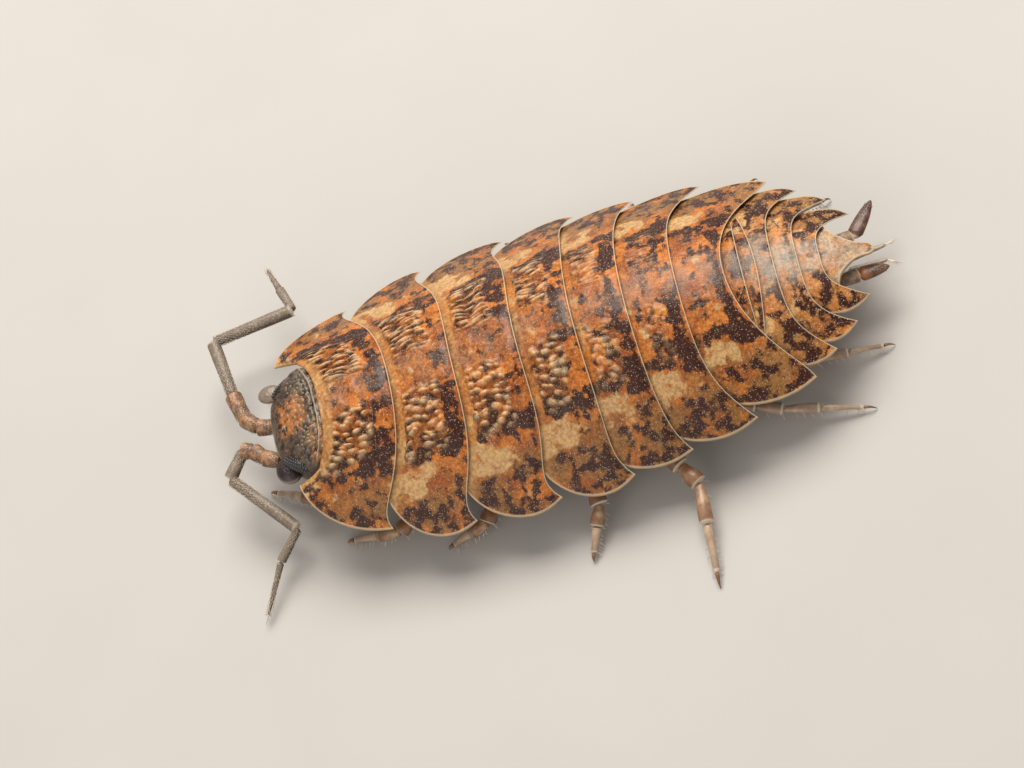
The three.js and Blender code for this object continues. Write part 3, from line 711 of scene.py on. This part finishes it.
def warts(x, y, wide, long, seed):
    """Rounded bumps in a jittered grid, from 0 between them to 1 on their tops."""
    column, row = np.floor(x / wide), np.floor(y / long)
    best = np.zeros_like(x)
    for i in (-1, 0, 1):
        for j in (-1, 0, 1):
            cell = np.stack([column + i, row + j], -1).astype(np.int64)
            centre_x = (cell[..., 0] + 0.5 + 0.7 * (chance(cell, seed) - 0.5)) * wide
            centre_y = (cell[..., 1] + 0.5 + 0.9 * (chance(cell, seed + 1) - 0.5)) * long
            size = mix(0.4, 0.72, chance(cell, seed + 2))
            near = ((x - centre_x) / (wide * size)) ** 2 + ((y - centre_y) / (long * size)) ** 2
            best = np.maximum(best, np.clip(1 - near, 0, 1))
    return best


def ribs(x, y, seed):
    """Warts on the left side and long thin ridges on the right, from 0 to 1."""
    bend = 0.16 * (noise(x / 0.5, y / 0.4, seed) - 0.5)
    across = x + bend - np.sign(x) * 0.12 * y
    left, right = warts(across, y, *WART_SIZE, seed + 5), warts(across, y, *RIDGE_SIZE, seed + 8)
    return np.where(x > 0, left, right)


def zone(value, start, full, fading, end):
    """1 between full and fading, falling smoothly to 0 at start and end."""
    return smooth(start, full, value) * (1 - smooth(fading, end, value))


def bead(distance, middle, width):
    """A narrow ridge at a distance from an edge, from 0 to 1."""
    return np.exp(-(((distance - middle) / width) ** 2))


def build_plate(name, node, plate, front_of, cover_of, number, strength, plain, collared=False):
    """One shell plate. strength is how high its ridge fields stand, plain how clear its smooth
    front band is."""
    grid = PLATE_GRID if strength > 0 else TAIL_GRID
    x, y, opened, hind, side_edge = plate_points(plate, front_of, cover_of, *grid)
    side = np.abs(x) / plate["half"]
    edge = np.minimum(hind, side_edge)
    if collared:
        edge = np.minimum(edge, np.abs(y - collar(x)) * 0.8)
    reach = 0.62 + 0.12 * (noise(x / 0.4, y * 0 + number, 7) - 0.5)
    field = zone(side, 0.1, 0.2, 0.5, 0.6) * zone(opened, 0.1, 0.18, reach, reach + 0.12)
    rib = ribs(x, y, number * 17 + 3) if strength > 0 else 0 * x
    shown = field * strength
    knobs = smooth(0.55, 0.8, noise(x / 0.16, y / 0.2, number + 40)) * smooth(0.05, 0.3, hind)
    knobs = knobs * (1 - smooth(0.6, 0.75, side)) * strength
    waves = (rough(x / 0.45, y / 0.45, number) - 0.5) * smooth(0, 0.2, edge)
    height = RIB_HEIGHT * shown * rib + KNOB_HEIGHT * knobs + WAVE_HEIGHT * waves
    height = height + BEAD_HEIGHT * bead(edge, 0.02, 0.03)
    height = height - RIM_DROP * (1 - smooth(0, RIM_WIDTH, hind))
    top_z = dome(x, y) - (0 if collared else STEP * (1 - opened))
    thick = mix(RIM_THICK, BODY_THICK, smooth(0, 0.5, edge))
    top, bottom = (np.stack([x + sway(y), y, z], -1) for z in (top_z + height, top_z - thick))
    front_band = 1 - smooth(0.06, 0.16, opened)
    if collared:
        front_band = 1 - smooth(*FRONT_BAND, y - collar(x))
        field = field * (1 - front_band)
    front_band = front_band * plain
    band = zone(opened, 0.64, 0.76, 0.9, 0.98) * (1 - smooth(0.55, 0.66, side))
    band = band * smooth(0.28, 0.5, noise(x / 0.5, y / 0.7, number + 60))
    outer = zone(side, 0.47, 0.52, 0.6, 0.66)
    spot = zone(side, 0.56, 0.63, 0.74, 0.8) * (1 - smooth(0.45, 0.65, opened))
    middle, flank = 1 - smooth(0.06, 0.2, side), smooth(0.72, 0.85, side)
    dark = 0.16 * band + 0.13 * outer + 0.075 * flank + 0.05 * field
    dark = dark - 0.22 * spot - 0.26 * front_band - 0.01 * middle
    pale = 0.2 * spot + 0.14 * front_band - 0.05 * band - 0.06 * flank
    # grey is a painted reflection: a sheen along the middle of the plate.
    grey = 0.45 * middle
    if strength == 0:
        # On the tail plates the painted sheen covers a wider middle.
        grey = 0.7 * (1 - smooth(0.2, 0.5, side))
        dark = 0.07 * smooth(0.1, 0.5, opened) + 0.03 * smooth(0.3, 0.7, side)
    masks = {
        "dark": dark, "pale": pale, "field": smooth(0, 0.7, shown), "rib": rib, "hind": hind,
        "side_edge": side_edge, "side": side, "grey": grey, "plain": front_band,
        "tail": smooth(9.2, 10.8, y) * (1 - 0.4 * smooth(0.6, 0.9, side)),
    }
    form = Form()
    masks = {key: np.tile(value.ravel(), 2) for key, value in masks.items()}
    form.add(*sheet_body(top, bottom), **masks)
    make(name, form, SHELL, "shell", node)


def build_shell():
    for k, plate in enumerate(PEREON):
        cover_of = front_of = collar
        if k:
            cover_of = lambda x, p=PEREON[k - 1]: hind_margin(p, x)
            front_of = lambda x, c=cover_of: c(x) - PLATE_OVERLAP
        names = f"plate_{k + 1}", f"pereonite_{k + 1}"
        looks = k + 1, RIB_STRENGTH[k], BAND_STRENGTH[k]
        build_plate(*names, plate, front_of, cover_of, *looks, collared=k == 0)
    last = PEREON[-1]
    first, second, third, fourth = PLEON[:4]
    covering = [last], [first, last], [second, last], [third], [fourth]
    for k, (plate, above) in enumerate(zip(PLEON, covering)):
        cover_of = lambda x, a=above: np.max([hind_margin(p, x) for p in a], 0)
        front_of = lambda x, c=cover_of: c(x) - TAIL_OVERLAP
        names = f"tail_plate_{k + 1}", f"pleonite_{k + 1}"
        build_plate(*names, plate, front_of, cover_of, k + 11, 0, 0)


# Telson: its half width falls from the hidden front to the blunt tip
TELSON = {
    "tip": 12.79, "half": 0.93, "tip_half": 0.17, "taper": 1.15, "round": 0.85, "thick": 0.09,
    "trough": 0.05, "trough_half": 0.16,
}
TELSON_GRID = (110, 110)


def build_telson():
    before = PLEON[4]
    rows, columns = TELSON_GRID
    u, s = spread(rows, 0, 0.9)[:, None], 2 * spread(columns, 0.6, 0.6)[None, :] - 1
    length = TELSON["tip"] - before["middle"] + TAIL_OVERLAP
    ending = np.clip((u - TELSON["round"]) / (1 - TELSON["round"]), 0, 1)
    wide = mix(TELSON["tip_half"], TELSON["half"], 1 - smooth(0, 1, u * TELSON["taper"]))
    half = wide * np.sqrt(np.maximum(1 - ending**2, 0.003))
    x = half * s
    cover = hind_margin(before, x)
    y = cover - TAIL_OVERLAP + length * u
    opened = np.clip((y - cover) / LEAST_OPEN, 0, 1)
    z = dome(x, y) - STEP * (1 - opened)
    slope = np.gradient(half.ravel(), u.ravel())[:, None] / length
    edge = np.minimum((half - np.abs(x)) / np.sqrt(1 + slope**2), (1 - u) * length)
    z = z + 0.012 * bead(edge, 0.02, 0.03) + WAVE_HEIGHT * (rough(x / 0.25, y / 0.25, 5) - 0.5)
    z = z - TELSON["trough"] * bead(x, 0, TELSON["trough_half"]) * smooth(11.9, 12.3, y)
    top = np.stack([x, y, z], -1)
    body = sheet_body(top, top - [0, 0, TELSON["thick"]])
    form = Form()
    edge = np.tile((edge * 1.2).ravel(), 2)
    # grey paints a reflected sheen over the whole telson.
    form.add(*body, pale=0.05, hind=0.5, side_edge=edge, side=0.2, grey=0.7, tail=1.0)
    make("tail_tip", form, SHELL, "shell", "telson")


# Trunk below the plates, with a groove across it at each joint
TRUNK = {"front": -0.85, "rear": 10.6, "lift_from": 9.6, "lift": 0.3, "depth": 0.42}
TRUNK_GRID = (220, 60)
TRUNK_NARROWER = 0.93
GROOVE = {"ahead": 0.4, "half": 0.08, "depth": 0.05}
LEAST_TRUNK = 0.05


def build_belly():
    rows, columns = TRUNK_GRID
    y = np.linspace(TRUNK["front"], TRUNK["rear"], rows)[:, None]
    s = np.linspace(-1, 1, columns)[None, :]
    x = s * TRUNK_SHARE * along(HALF_WIDTH, y) * TRUNK_NARROWER
    joints = [mix(plate["middle"], plate["corner"], 0.3) - GROOVE["ahead"] for plate in PEREON]
    groove = sum(bead(y, joint, GROOVE["half"]) for joint in joints)
    low = BELLY_Z + 0.12 * s**2 + 0.25 * s**6 + GROOVE["depth"] * groove
    low = low + TRUNK["lift"] * smooth(TRUNK["lift_from"], TRUNK["rear"], y)
    high = np.maximum(dome(x, y) - TRUNK["depth"], low + LEAST_TRUNK)
    top, bottom = (np.stack([x + sway(y), y + 0 * x, level], -1) for level in (high, low))
    form = Form()
    form.add(*sheet_body(top, bottom))
    make("belly", form, BELLY, "underside")


# Gill plates under the tail
GILLS = {
    "y": 9.6, "z": 1.02, "count": 5, "pitch": 0.36, "half": 0.52, "narrower": 0.05,
    "long": 0.42, "thick": 0.06, "tilt": (0, 1, -0.18), "apart": 0.98,
}


def build_gills():
    form = Form()
    tilt = unit(GILLS["tilt"])
    axes = [(1, 0, 0), tilt, np.cross((1, 0, 0), tilt)]
    for k in range(GILLS["count"]):
        y, half = GILLS["y"] + GILLS["pitch"] * k, GILLS["half"] - GILLS["narrower"] * k
        for side in (1, -1):
            centre = (side * half * GILLS["apart"], y, GILLS["z"])
            form.add(*egg(centre, (half, GILLS["long"], GILLS["thick"]), axes))
    make("gill_plates", form, BELLY, "underside", "pleopods")


# Head: rings from the front rim to under the first plate, as y, half width, top, low and wrap.
# wrap is how closely a ring follows the bow of the first plate's front edge, and the front
# rings bow the other way.
HEAD_STATIONS = [
    (-2.44, 0.84, 1.86, 1.36, -1), (-2.28, 1.02, 2.04, 1.26, -0.8),
    (-2.08, 1.15, 2.22, 1.22, -0.4), (-1.8, 1.29, 2.4, 1.24, 0.2),
    (-1.5, 1.37, 2.56, 1.3, 0.55), (-1.2, 1.4, 2.7, 1.42, 0.85),
    (-1.03, 1.4, 2.76, 1.5, 1), (-0.8, 1.3, 2.7, 1.55, 1),
]
HEAD_SQUARENESS = 0.75
HEAD_GRID = (130, 220)
HEAD_ROUND = 0.09
# Middle and half width of the ridge and groove in y, and of the rim behind the front
HEAD_RIDGE, HEAD_GROOVE, HEAD_RIM = (-1.04, 0.022), (-1.12, 0.04), (0.05, 0.035)
# Heights of the knobs, ridge, rim and groove
HEAD_LIFT = (0.045, 0.03, 0.03, -0.04)
HEAD_WART_SIZE = (0.11, 0.14)
TUBERCLE_ROWS = (-1.2, -1.36, -1.52)
TUBERCLE_COLUMNS = np.arange(17) * 0.15 - 1.2
TUBERCLE_RADII = (0.042, 0.085, 0.045)
# Side lobes as mask, centre and radii, and eyes as centre, tilt and turn
LOBES = {
    "lobe": ((1.01, -2.18, 1.8), (0.36, 0.34, 0.23)),
    "flap": ((-1.16, -2.27, 1.82), (0.24, 0.3, 0.1)),
}
EYES = {"left": ((1.08, -1.86, 2.1), 0.75, -0.69), "right": ((-1.14, -1.8, 2.0), -0.9, 0.5)}
EYE_RADII = (0.16, 0.44, 0.16)
OCELLUS = {"radii": (0.036, 0.036, 0.026), "across": 0.06, "along": 0.066, "sink": 0.004}
LEAST_INSIDE = 0.06


def head_ring(y):
    """Half width, top, low and wrap of the head's ring at y."""
    return [along([(row[0], row[n]) for row in HEAD_STATIONS], y) for n in range(1, 5)]


def head_surface(x, y):
    """Height of the head's top at a place on it."""
    half, top, low, _ = head_ring(y)
    c = np.clip(np.abs(x) / half, 0, 1) ** (1 / HEAD_SQUARENESS)
    return (top + low) / 2 + (top - low) / 2 * np.sqrt(1 - c**2) ** HEAD_SQUARENESS


def build_head():
    rings, sides = HEAD_GRID
    front = HEAD_STATIONS[0][0]
    station = mix(front, HEAD_STATIONS[-1][0], spread(rings, 0.7, 0))[:, None]
    half, top, low, wrap = head_ring(station)
    close = np.sqrt(np.clip((station - front) / HEAD_ROUND, 0.004, 1))
    c, s = np.cos(circle(sides))[None, :], np.sin(circle(sides))[None, :]
    x = half * close * np.sign(c) * np.abs(c) ** HEAD_SQUARENESS
    tall = (top - low) / 2 * close
    z = (top + low) / 2 + tall * np.sign(s) * np.abs(s) ** HEAD_SQUARENESS
    y = station - wrap * COLLAR["bend"] * np.abs(x) ** 3
    upper = smooth(0.1, 0.5, s)
    behind = station - front
    ridge, groove = bead(station, *HEAD_RIDGE) * upper, bead(station, *HEAD_GROOVE) * upper
    rim = bead(behind, *HEAD_RIM) * smooth(-0.1, 0.3, s)
    knobs = warts(x, y, *HEAD_WART_SIZE, 31) * upper * smooth(0.06, 0.3, behind)
    lift = sum(high * part for high, part in zip(HEAD_LIFT, (knobs, ridge, rim, groove)))
    lift = lift + 0.03 * (rough(x / 0.2, y / 0.2, 8) - 0.5) * upper
    body = tube(np.stack([x + sway(y), y, z + lift], -1))
    warm = smooth(0.62, 0.3, np.abs(x + 0.1)) * upper * zone(y, -2.25, -2.0, -1.55, -1.2)
    warm = np.maximum(warm, 0.7 * smooth(0.2, 0.6, x) * smooth(-1.5, -1.3, y) * upper)
    # The rim's share of pale is a painted highlight along the head's front rim.
    pale = np.clip(0.5 * ridge + 0.5 * rim + 0.16 * knobs * smooth(-2.0, -1.4, y), 0, 1)
    ends = lambda value: np.concatenate([np.broadcast_to(value, x.shape).ravel(), [0, 0]])
    form = Form()
    form.add(*body, warm=ends(warm), pale=ends(pale))
    for mask, ((x, y, z), radii) in LOBES.items():
        centre = np.array([x + float(sway(y)), y, z])
        points, faces = egg(centre, radii, rings=30, sides=48)
        level = (points[:, 2] - z) / radii[2]
        outward = (points - centre) @ unit((x, -0.7, 0)) / radii[0]
        pale = 0.45 * bead(level, 0.1, 0.22) * smooth(0.2, 0.7, outward)
        form.add(points, faces, pale=pale, **{mask: 1.0})
    tubercles(form)
    make("head_capsule", form, HEAD, "head_shell", "head")


def tubercles(form):
    """Long pale warts in rows across the rear of the head, largest near its sides."""
    for row, station in enumerate(TUBERCLE_ROWS):
        for k, column in enumerate(TUBERCLE_COLUMNS):
            x = column + 0.05 * noise(k * 1.7, row * 3.1, 50)
            y = station + 0.07 * noise(k * 2.3, row * 1.9, 51)
            y = y - COLLAR["bend"] * 0.8 * abs(x) ** 3
            size = mix(0.55, 1.0, smooth(0.2, 0.9, abs(x))) * mix(0.7, 1.1, noise(k, row, 52))
            centre = x + sway(y), y, head_surface(x, y) - 0.01
            body = egg(centre, np.array(TUBERCLE_RADII) * size, rings=8, sides=12)
            form.add(*body, pale=0.55 * size, warm=0.3)


def build_eyes():
    wide, long, tall = EYE_RADII
    for name, ((x, y, z), tilt, turn) in EYES.items():
        centre = np.array([x + float(sway(y)), y, z])
        ct, st, cp, sp = math.cos(tilt), math.sin(tilt), math.cos(turn), math.sin(turn)
        axes = np.array([(ct * cp, ct * sp, -st), (-sp, cp, 0), (st * cp, st * sp, ct)])
        form = Form()
        form.add(*egg(centre, EYE_RADII, axes, 20, 32))
        for row in range(-3, 4):
            for column in range(-7, 8):
                u, v = row * OCELLUS["across"], (column + 0.5 * (row % 2)) * OCELLUS["along"]
                inside = 1 - (u / wide) ** 2 - (v / long) ** 2
                if inside > LEAST_INSIDE:
                    out = tall * math.sqrt(inside) - OCELLUS["sink"]
                    place = centre + np.array((u, v, out)) @ axes
                    form.add(*egg(place, OCELLUS["radii"], axes, 8, 12))
        make(f"eye_{name}_ocelli", form, EYE, "eye", f"eye_{name}")


# Mouth plates of one side: centre and radii
MOUTH_Y = -1.95
MOUTH_PLATES = [((0.2, -2, 0.96), (0.2, 0.36, 0.16)), ((0.42, -1.9, 0.99), (0.16, 0.3, 0.16))]


def build_mouth():
    form = Form()
    for side in (1, -1):
        for (x, y, z), radii in MOUTH_PLATES:
            centre = side * x + sway(MOUTH_Y), y, z
            form.add(*egg(centre, radii, rings=14, sides=24))
    make("mouth_plates", form, BELLY, "underside", "mouthparts")


# Feelers: joints from the head to the tip. The scales are tiny thorns that lie along the limb.
FEELERS = {
    "left": {
        "root": (0.36, -2.4, 1.52),
        "base": [(0.1, -2.8, 1.46), (-0.2, -3.04, 1.43), (-0.32, -3.3, 1.4)],
        "stem": [(0.25, -3.78, 1.3)],
        "shaft": [(1.95, -2.48, 0.95)],
        "lash": [(2.48, -3.14, 0.6), (3.58, -3.81, 0.22)],
    },
    "right": {
        "root": (-0.64, -2.4, 1.47),
        "base": [(-0.78, -2.8, 1.44), (-1.15, -3.1, 1.4), (-1.87, -3.26, 1.42)],
        "stem": [(-3.48, -3.47, 1.42)],
        "shaft": [(-3.66, -1.36, 1.4)],
        "lash": [(-4.4, -1.6, 1.3), (-5.11, -1.82, 1.2)],
    },
}
FEELER_RADII = {"base": 0.21, "stem": 0.165, "shaft": 0.155, "lash": 0.115}
FEELER_END = (0.088, 0.0264)
TIP_BRISTLE, TIP_RADIUS = (-0.05, 0.22), 0.022
SCALE = {"spacing": 0.055, "long": 0.045, "rise": 0.016, "radius": 0.011}


def capped(share, length):
    """Rounded ends of a limb joint, each a share of its length."""
    return np.sqrt(np.clip(np.minimum(share, 1 - share) / length, 0, 1))


def barrel(radius, start, end, round_end):
    """Radius along a limb joint: narrow at its start, widest near its end."""
    return lambda share: (
        radius * mix(start, end, smooth(0, 0.75, share)) * capped(share, round_end)
    )


def cone(start, end, round_end):
    """Radius along a limb joint that tapers evenly."""
    return lambda share: mix(start, end, share) * capped(share, round_end)


def limb_scales(form, start, end, radius, rng, **masks):
    """Small pointed scales in rings along a limb joint."""
    aside, up = frame_on(end - start)
    length = np.linalg.norm(end - start)
    way = (end - start) / length
    count = max(int(length / SCALE["spacing"]), 1)
    around = max(int(2 * math.pi * radius / SCALE["spacing"] / 1.2), 5)
    for ring in range(1, count):
        for n in range(around):
            angle = 2 * math.pi * (n + 0.5 * (ring % 2) + rng.uniform(-0.25, 0.25)) / around
            out = aside * math.cos(angle) + up * math.sin(angle)
            share = (ring + rng.uniform(-0.3, 0.3)) / count
            base = start + way * length * share + out * radius * 0.93
            tip = base + way * SCALE["long"] + out * SCALE["rise"]
            thorn(form, base, tip, SCALE["radius"], **masks)


def build_feelers():
    rng = np.random.default_rng(7)
    for name in SIDES:
        joint = np.array(FEELERS[name]["root"])
        for piece, radius in FEELER_RADII.items():
            root, lash = piece == "base", piece == "lash"
            stops = FEELERS[name][piece]
            form = Form()
            for k, stop in enumerate(np.array(stops)):
                last = lash and k == len(stops) - 1
                profile = barrel(radius, 0.84 if lash else 0.76, 1, 0.03)
                if last:
                    profile = cone(*FEELER_END, 0.04)
                body, lengthwise, around = article(joint, stop, profile, 1, 24, 40)
                looks = {"warm": 0.85 if root else 0.0, "light": smooth(0.2, 0.6, np.sin(around))}
                form.add(*body, pale=smooth(0.955, 0.975, lengthwise) * 0.9, **looks)
                size = radius * (0.62 if last else 0.95)
                limb_scales(form, joint, stop, size, rng, pale=0.35 if root else 0.75)
                if last:
                    ends = (stop + unit(stop - joint) * reach for reach in TIP_BRISTLE)
                    thorn(form, *ends, TIP_RADIUS, pale=1.0)
                joint = stop
            make(f"feeler_{name}_{piece}", form, FEELER, "feeler", f"antenna_{name}_{piece}")


# Tail limbs: root, wrist and tip of the outer one, start and end of the slim inner one, and
# where its bristles point
TAIL_LIMBS = {
    "left": [
        (0.55, 11.72, 1.55), (0.42, 12.28, 1.34), (0.38, 13.0, 1.22),
        (0.14, 12.0, 1.16), (0.15, 13.0, 1.14), (0.36, 13.26, 1.06),
    ],
    "right": [
        (-0.52, 11.72, 1.55), (-0.64, 12.36, 1.32), (-1.52, 12.97, 1.2),
        (-0.16, 12.0, 1.18), (-0.24, 13.06, 1.17), (-0.3, 13.28, 1.12),
    ],
}
TAIL_RADII = {"stalk": 0.19, "blade": 0.2, "inner": (0.1, 0.05), "bristle": 0.014}
TAIL_FLATNESS = {"stalk": 0.75, "blade": 0.55, "inner": 0.7}
TAIL_BRISTLES = 7


def lancet(radius):
    """Radius along a blade: full soon after its start, then narrowing to a point."""
    return lambda share: (
        radius * np.clip(share / 0.16, 0.02, 1) ** 0.5 * np.clip(1 - share**2.4, 0.004, 1) ** 0.62
    )


def build_tail_limbs():
    rng = np.random.default_rng(11)
    for name in SIDES:
        root, wrist, tip, inner_start, inner_end, aim = np.array(TAIL_LIMBS[name])
        stalk = Form()
        profile = barrel(TAIL_RADII["stalk"], 0.85, 1, 0.12)
        flat = TAIL_FLATNESS["stalk"]
        body, lengthwise, _ = article(root, wrist, profile, flat, 28, 34)
        stalk.add(*body, stalk=1.0, pale=smooth(0.86, 0.93, lengthwise))
        make(f"tail_{name}_stalk", stalk, TAIL, "underside", f"uropod_{name}_stalk")
        blade = Form()
        start = wrist - unit(tip - wrist) * 0.06
        profile, flat = lancet(TAIL_RADII["blade"]), TAIL_FLATNESS["blade"]
        body, lengthwise, _ = article(start, tip, profile, flat, 28, 50)
        warm = 1 - smooth(0.15, 0.45, lengthwise) if name == "left" else 0.0
        blade.add(*body, pale=0.7 * (1 - smooth(0.04, 0.09, lengthwise)), warm=warm)
        limb_scales(blade, mix(start, tip, 0.1), mix(start, tip, 0.9), 0.1, rng, pale=0.3)
        make(f"tail_{name}_blade", blade, TAIL, "tail_blade", f"uropod_{name}_blade")
        inner = Form()
        profile, flat = cone(*TAIL_RADII["inner"], 0.08), TAIL_FLATNESS["inner"]
        body, *_ = article(inner_start, inner_end, profile, flat, 20, 24)
        inner.add(*body, stalk=0.8, pale=0.25)
        sunk = unit(inner_end - inner_start) * 0.04
        for _ in range(TAIL_BRISTLES):
            root = inner_end + rng.uniform(-0.03, 0.03, 3) - sunk
            point = mix(inner_end, aim, rng.uniform(0.7, 1.1)) + rng.uniform(-0.05, 0.05, 3)
            thorn(inner, root, point, TAIL_RADII["bristle"], pale=1.0)
        make(f"tail_{name}_inner", inner, TAIL, "underside", f"uropod_{name}_inner")


# Legs: y of the roots on the trunk, then x and y of each knee and foot
LEG_ROOTS = (-0.75, 1.1, 2.9, 4.6, 6.1, 7.45, 8.5)
LEGS = {
    "left": [
        (1.35, -1.75, 0.55, -3.15), (2.75, -0.1, 2.35, -1.55), (3.25, 2.0, 3.3, 0.85),
        (3.75, 4.75, 4.85, 4.2), (4.05, 7.2, 6.6, 7.0), (2.85, 9.6, 3.3, 11.7),
        (1.85, 10.7, 1.8, 12.5),
    ],
    "right": [
        (2.05, -1.7, 2.1, -2.75), (3.0, 0.35, 3.35, -0.75), (3.3, 2.4, 4.0, 1.5),
        (3.45, 4.5, 4.3, 3.9), (3.45, 6.8, 4.2, 7.2), (2.9, 9.0, 3.8, 10.3),
        (2.1, 10.5, 2.6, 11.9),
    ],
}
KNEE_Z = 0.62
LEG_ROOT_Z = 1.55
LEG_GAP = 0.15
THIGH = 0.26
LEG_RADII = (0.25, 0.24, 0.22, 0.18, 0.13)
LEG_WARMTH = (0.8, 0.7, 0.5, 0.15, 0)
LEG_SPINES = (0, 0, 2, 4, 6)
LEG_SUNK = 0.3
LEG_FLATNESS = 0.85
FIRST_REAR = 5
REAR_SIZE = 0.72
TOE = {"share": 0.86, "z": 0.17, "end_z": 0.012, "radius": 0.06, "bow": 0.05}
SPINE = {"radius": 0.014, "shortest": 0.09, "longest": 0.17, "clearance": 0.02}


def leg_stops(side, root, places):
    """Joints of a leg from the trunk to the floor."""
    knee, foot = places[:2], places[2:]
    plate = next((p for p in PEREON if p["middle"] - PLATE_OVERLAP > root), PEREON[-1])
    wall = TRUNK_SHARE * plate["half"] + LEG_GAP
    bend_x = max(mix(wall, knee[0], 0.5), wall + THIGH + LEG_GAP)
    bend = (bend_x, mix(root, knee[1], 0.45), mix(LEG_ROOT_Z, KNEE_Z, 0.7))
    at = lambda share, z: (mix(knee[0], foot[0], share), mix(knee[1], foot[1], share), z)
    half_way = tuple(mix(a, b, 0.5) for a, b in zip(bend, (*knee, KNEE_Z)))
    stops = [
        (wall - LEG_SUNK, root, LEG_ROOT_Z), bend, half_way, (*knee, KNEE_Z),
        at(0.4, KNEE_Z * 0.7), at(TOE["share"], TOE["z"]), at(1, TOE["end_z"]),
    ]
    return [np.array([side * x + float(sway(y)), y, z]) for x, y, z in stops]


def leg_spines(form, start, end, radius, rng, count):
    """Pairs of stiff pale spines along the lower side of a leg joint."""
    way = unit(end - start)
    aside, up = frame_on(way)
    for k in range(count):
        for lean in (-1, 1):
            share = mix(0.25, 0.97, (k + 0.4 * rng.random()) / max(count - 1, 1))
            out = unit(-0.7 * up + lean * aside * rng.uniform(0.5, 1.1))
            base = mix(start, end, min(share, 0.98)) + out * radius * 0.8
            length = rng.uniform(SPINE["shortest"], SPINE["longest"])
            tip = base + out * length + way * length * 0.55
            tip[2] = max(tip[2], SPINE["clearance"])
            thorn(form, base, tip, SPINE["radius"], pale=1.0)


def build_legs():
    rng = np.random.default_rng(23)
    for name, side in SIDES.items():
        for k, (root, places) in enumerate(zip(LEG_ROOTS, LEGS[name])):
            stops = leg_stops(side, root, places)
            rear = k >= FIRST_REAR
            scale = REAR_SIZE if rear else 1.0
            form = Form()
            for j, (size, warm, spines) in enumerate(zip(LEG_RADII, LEG_WARMTH, LEG_SPINES)):
                start, end, last = stops[j], stops[j + 1], j == len(LEG_RADII) - 1
                radius = size * scale
                profile = barrel(radius, *((0.9, 0.62) if last else (0.66, 1)), 0.05)
                body, lengthwise, _ = article(start, end, profile, LEG_FLATNESS, 20, 26, 0.02)
                ring = smooth(0.9, 0.95, lengthwise)
                dark = 0.6 * smooth(0.45, 0.8, lengthwise) * (1 - ring)
                pale = 0.8 * ring + (0.25 if last or rear else 0)
                form.add(*body, pale=pale, dark=dark, warm=warm)
                leg_spines(form, start, end, radius, rng, spines)
            nodes = [f"leg_{name}_{k + 1}_{part}" for part in ("upper", "lower")]
            make(f"walker_{name}_{k + 1}", form, LEG, "leg", *nodes)
            claw = Form()
            radius = TOE["radius"] * scale
            profile = cone(radius, radius * 0.2, 0.06)
            start, end = stops[5] + [0, 0, 0.01], stops[6] + [0, 0, 0.012]
            claw.add(*article(start, end, profile, 1, 14, 20, TOE["bow"])[0])
            make(f"claw_{name}_{k + 1}", claw, CLAW, "leg")


build_camera()
build_lights()
build_floor()
build_shell()
build_telson()
build_belly()
build_gills()
build_head()
build_eyes()
build_mouth()
build_feelers()
build_tail_limbs()
build_legs()
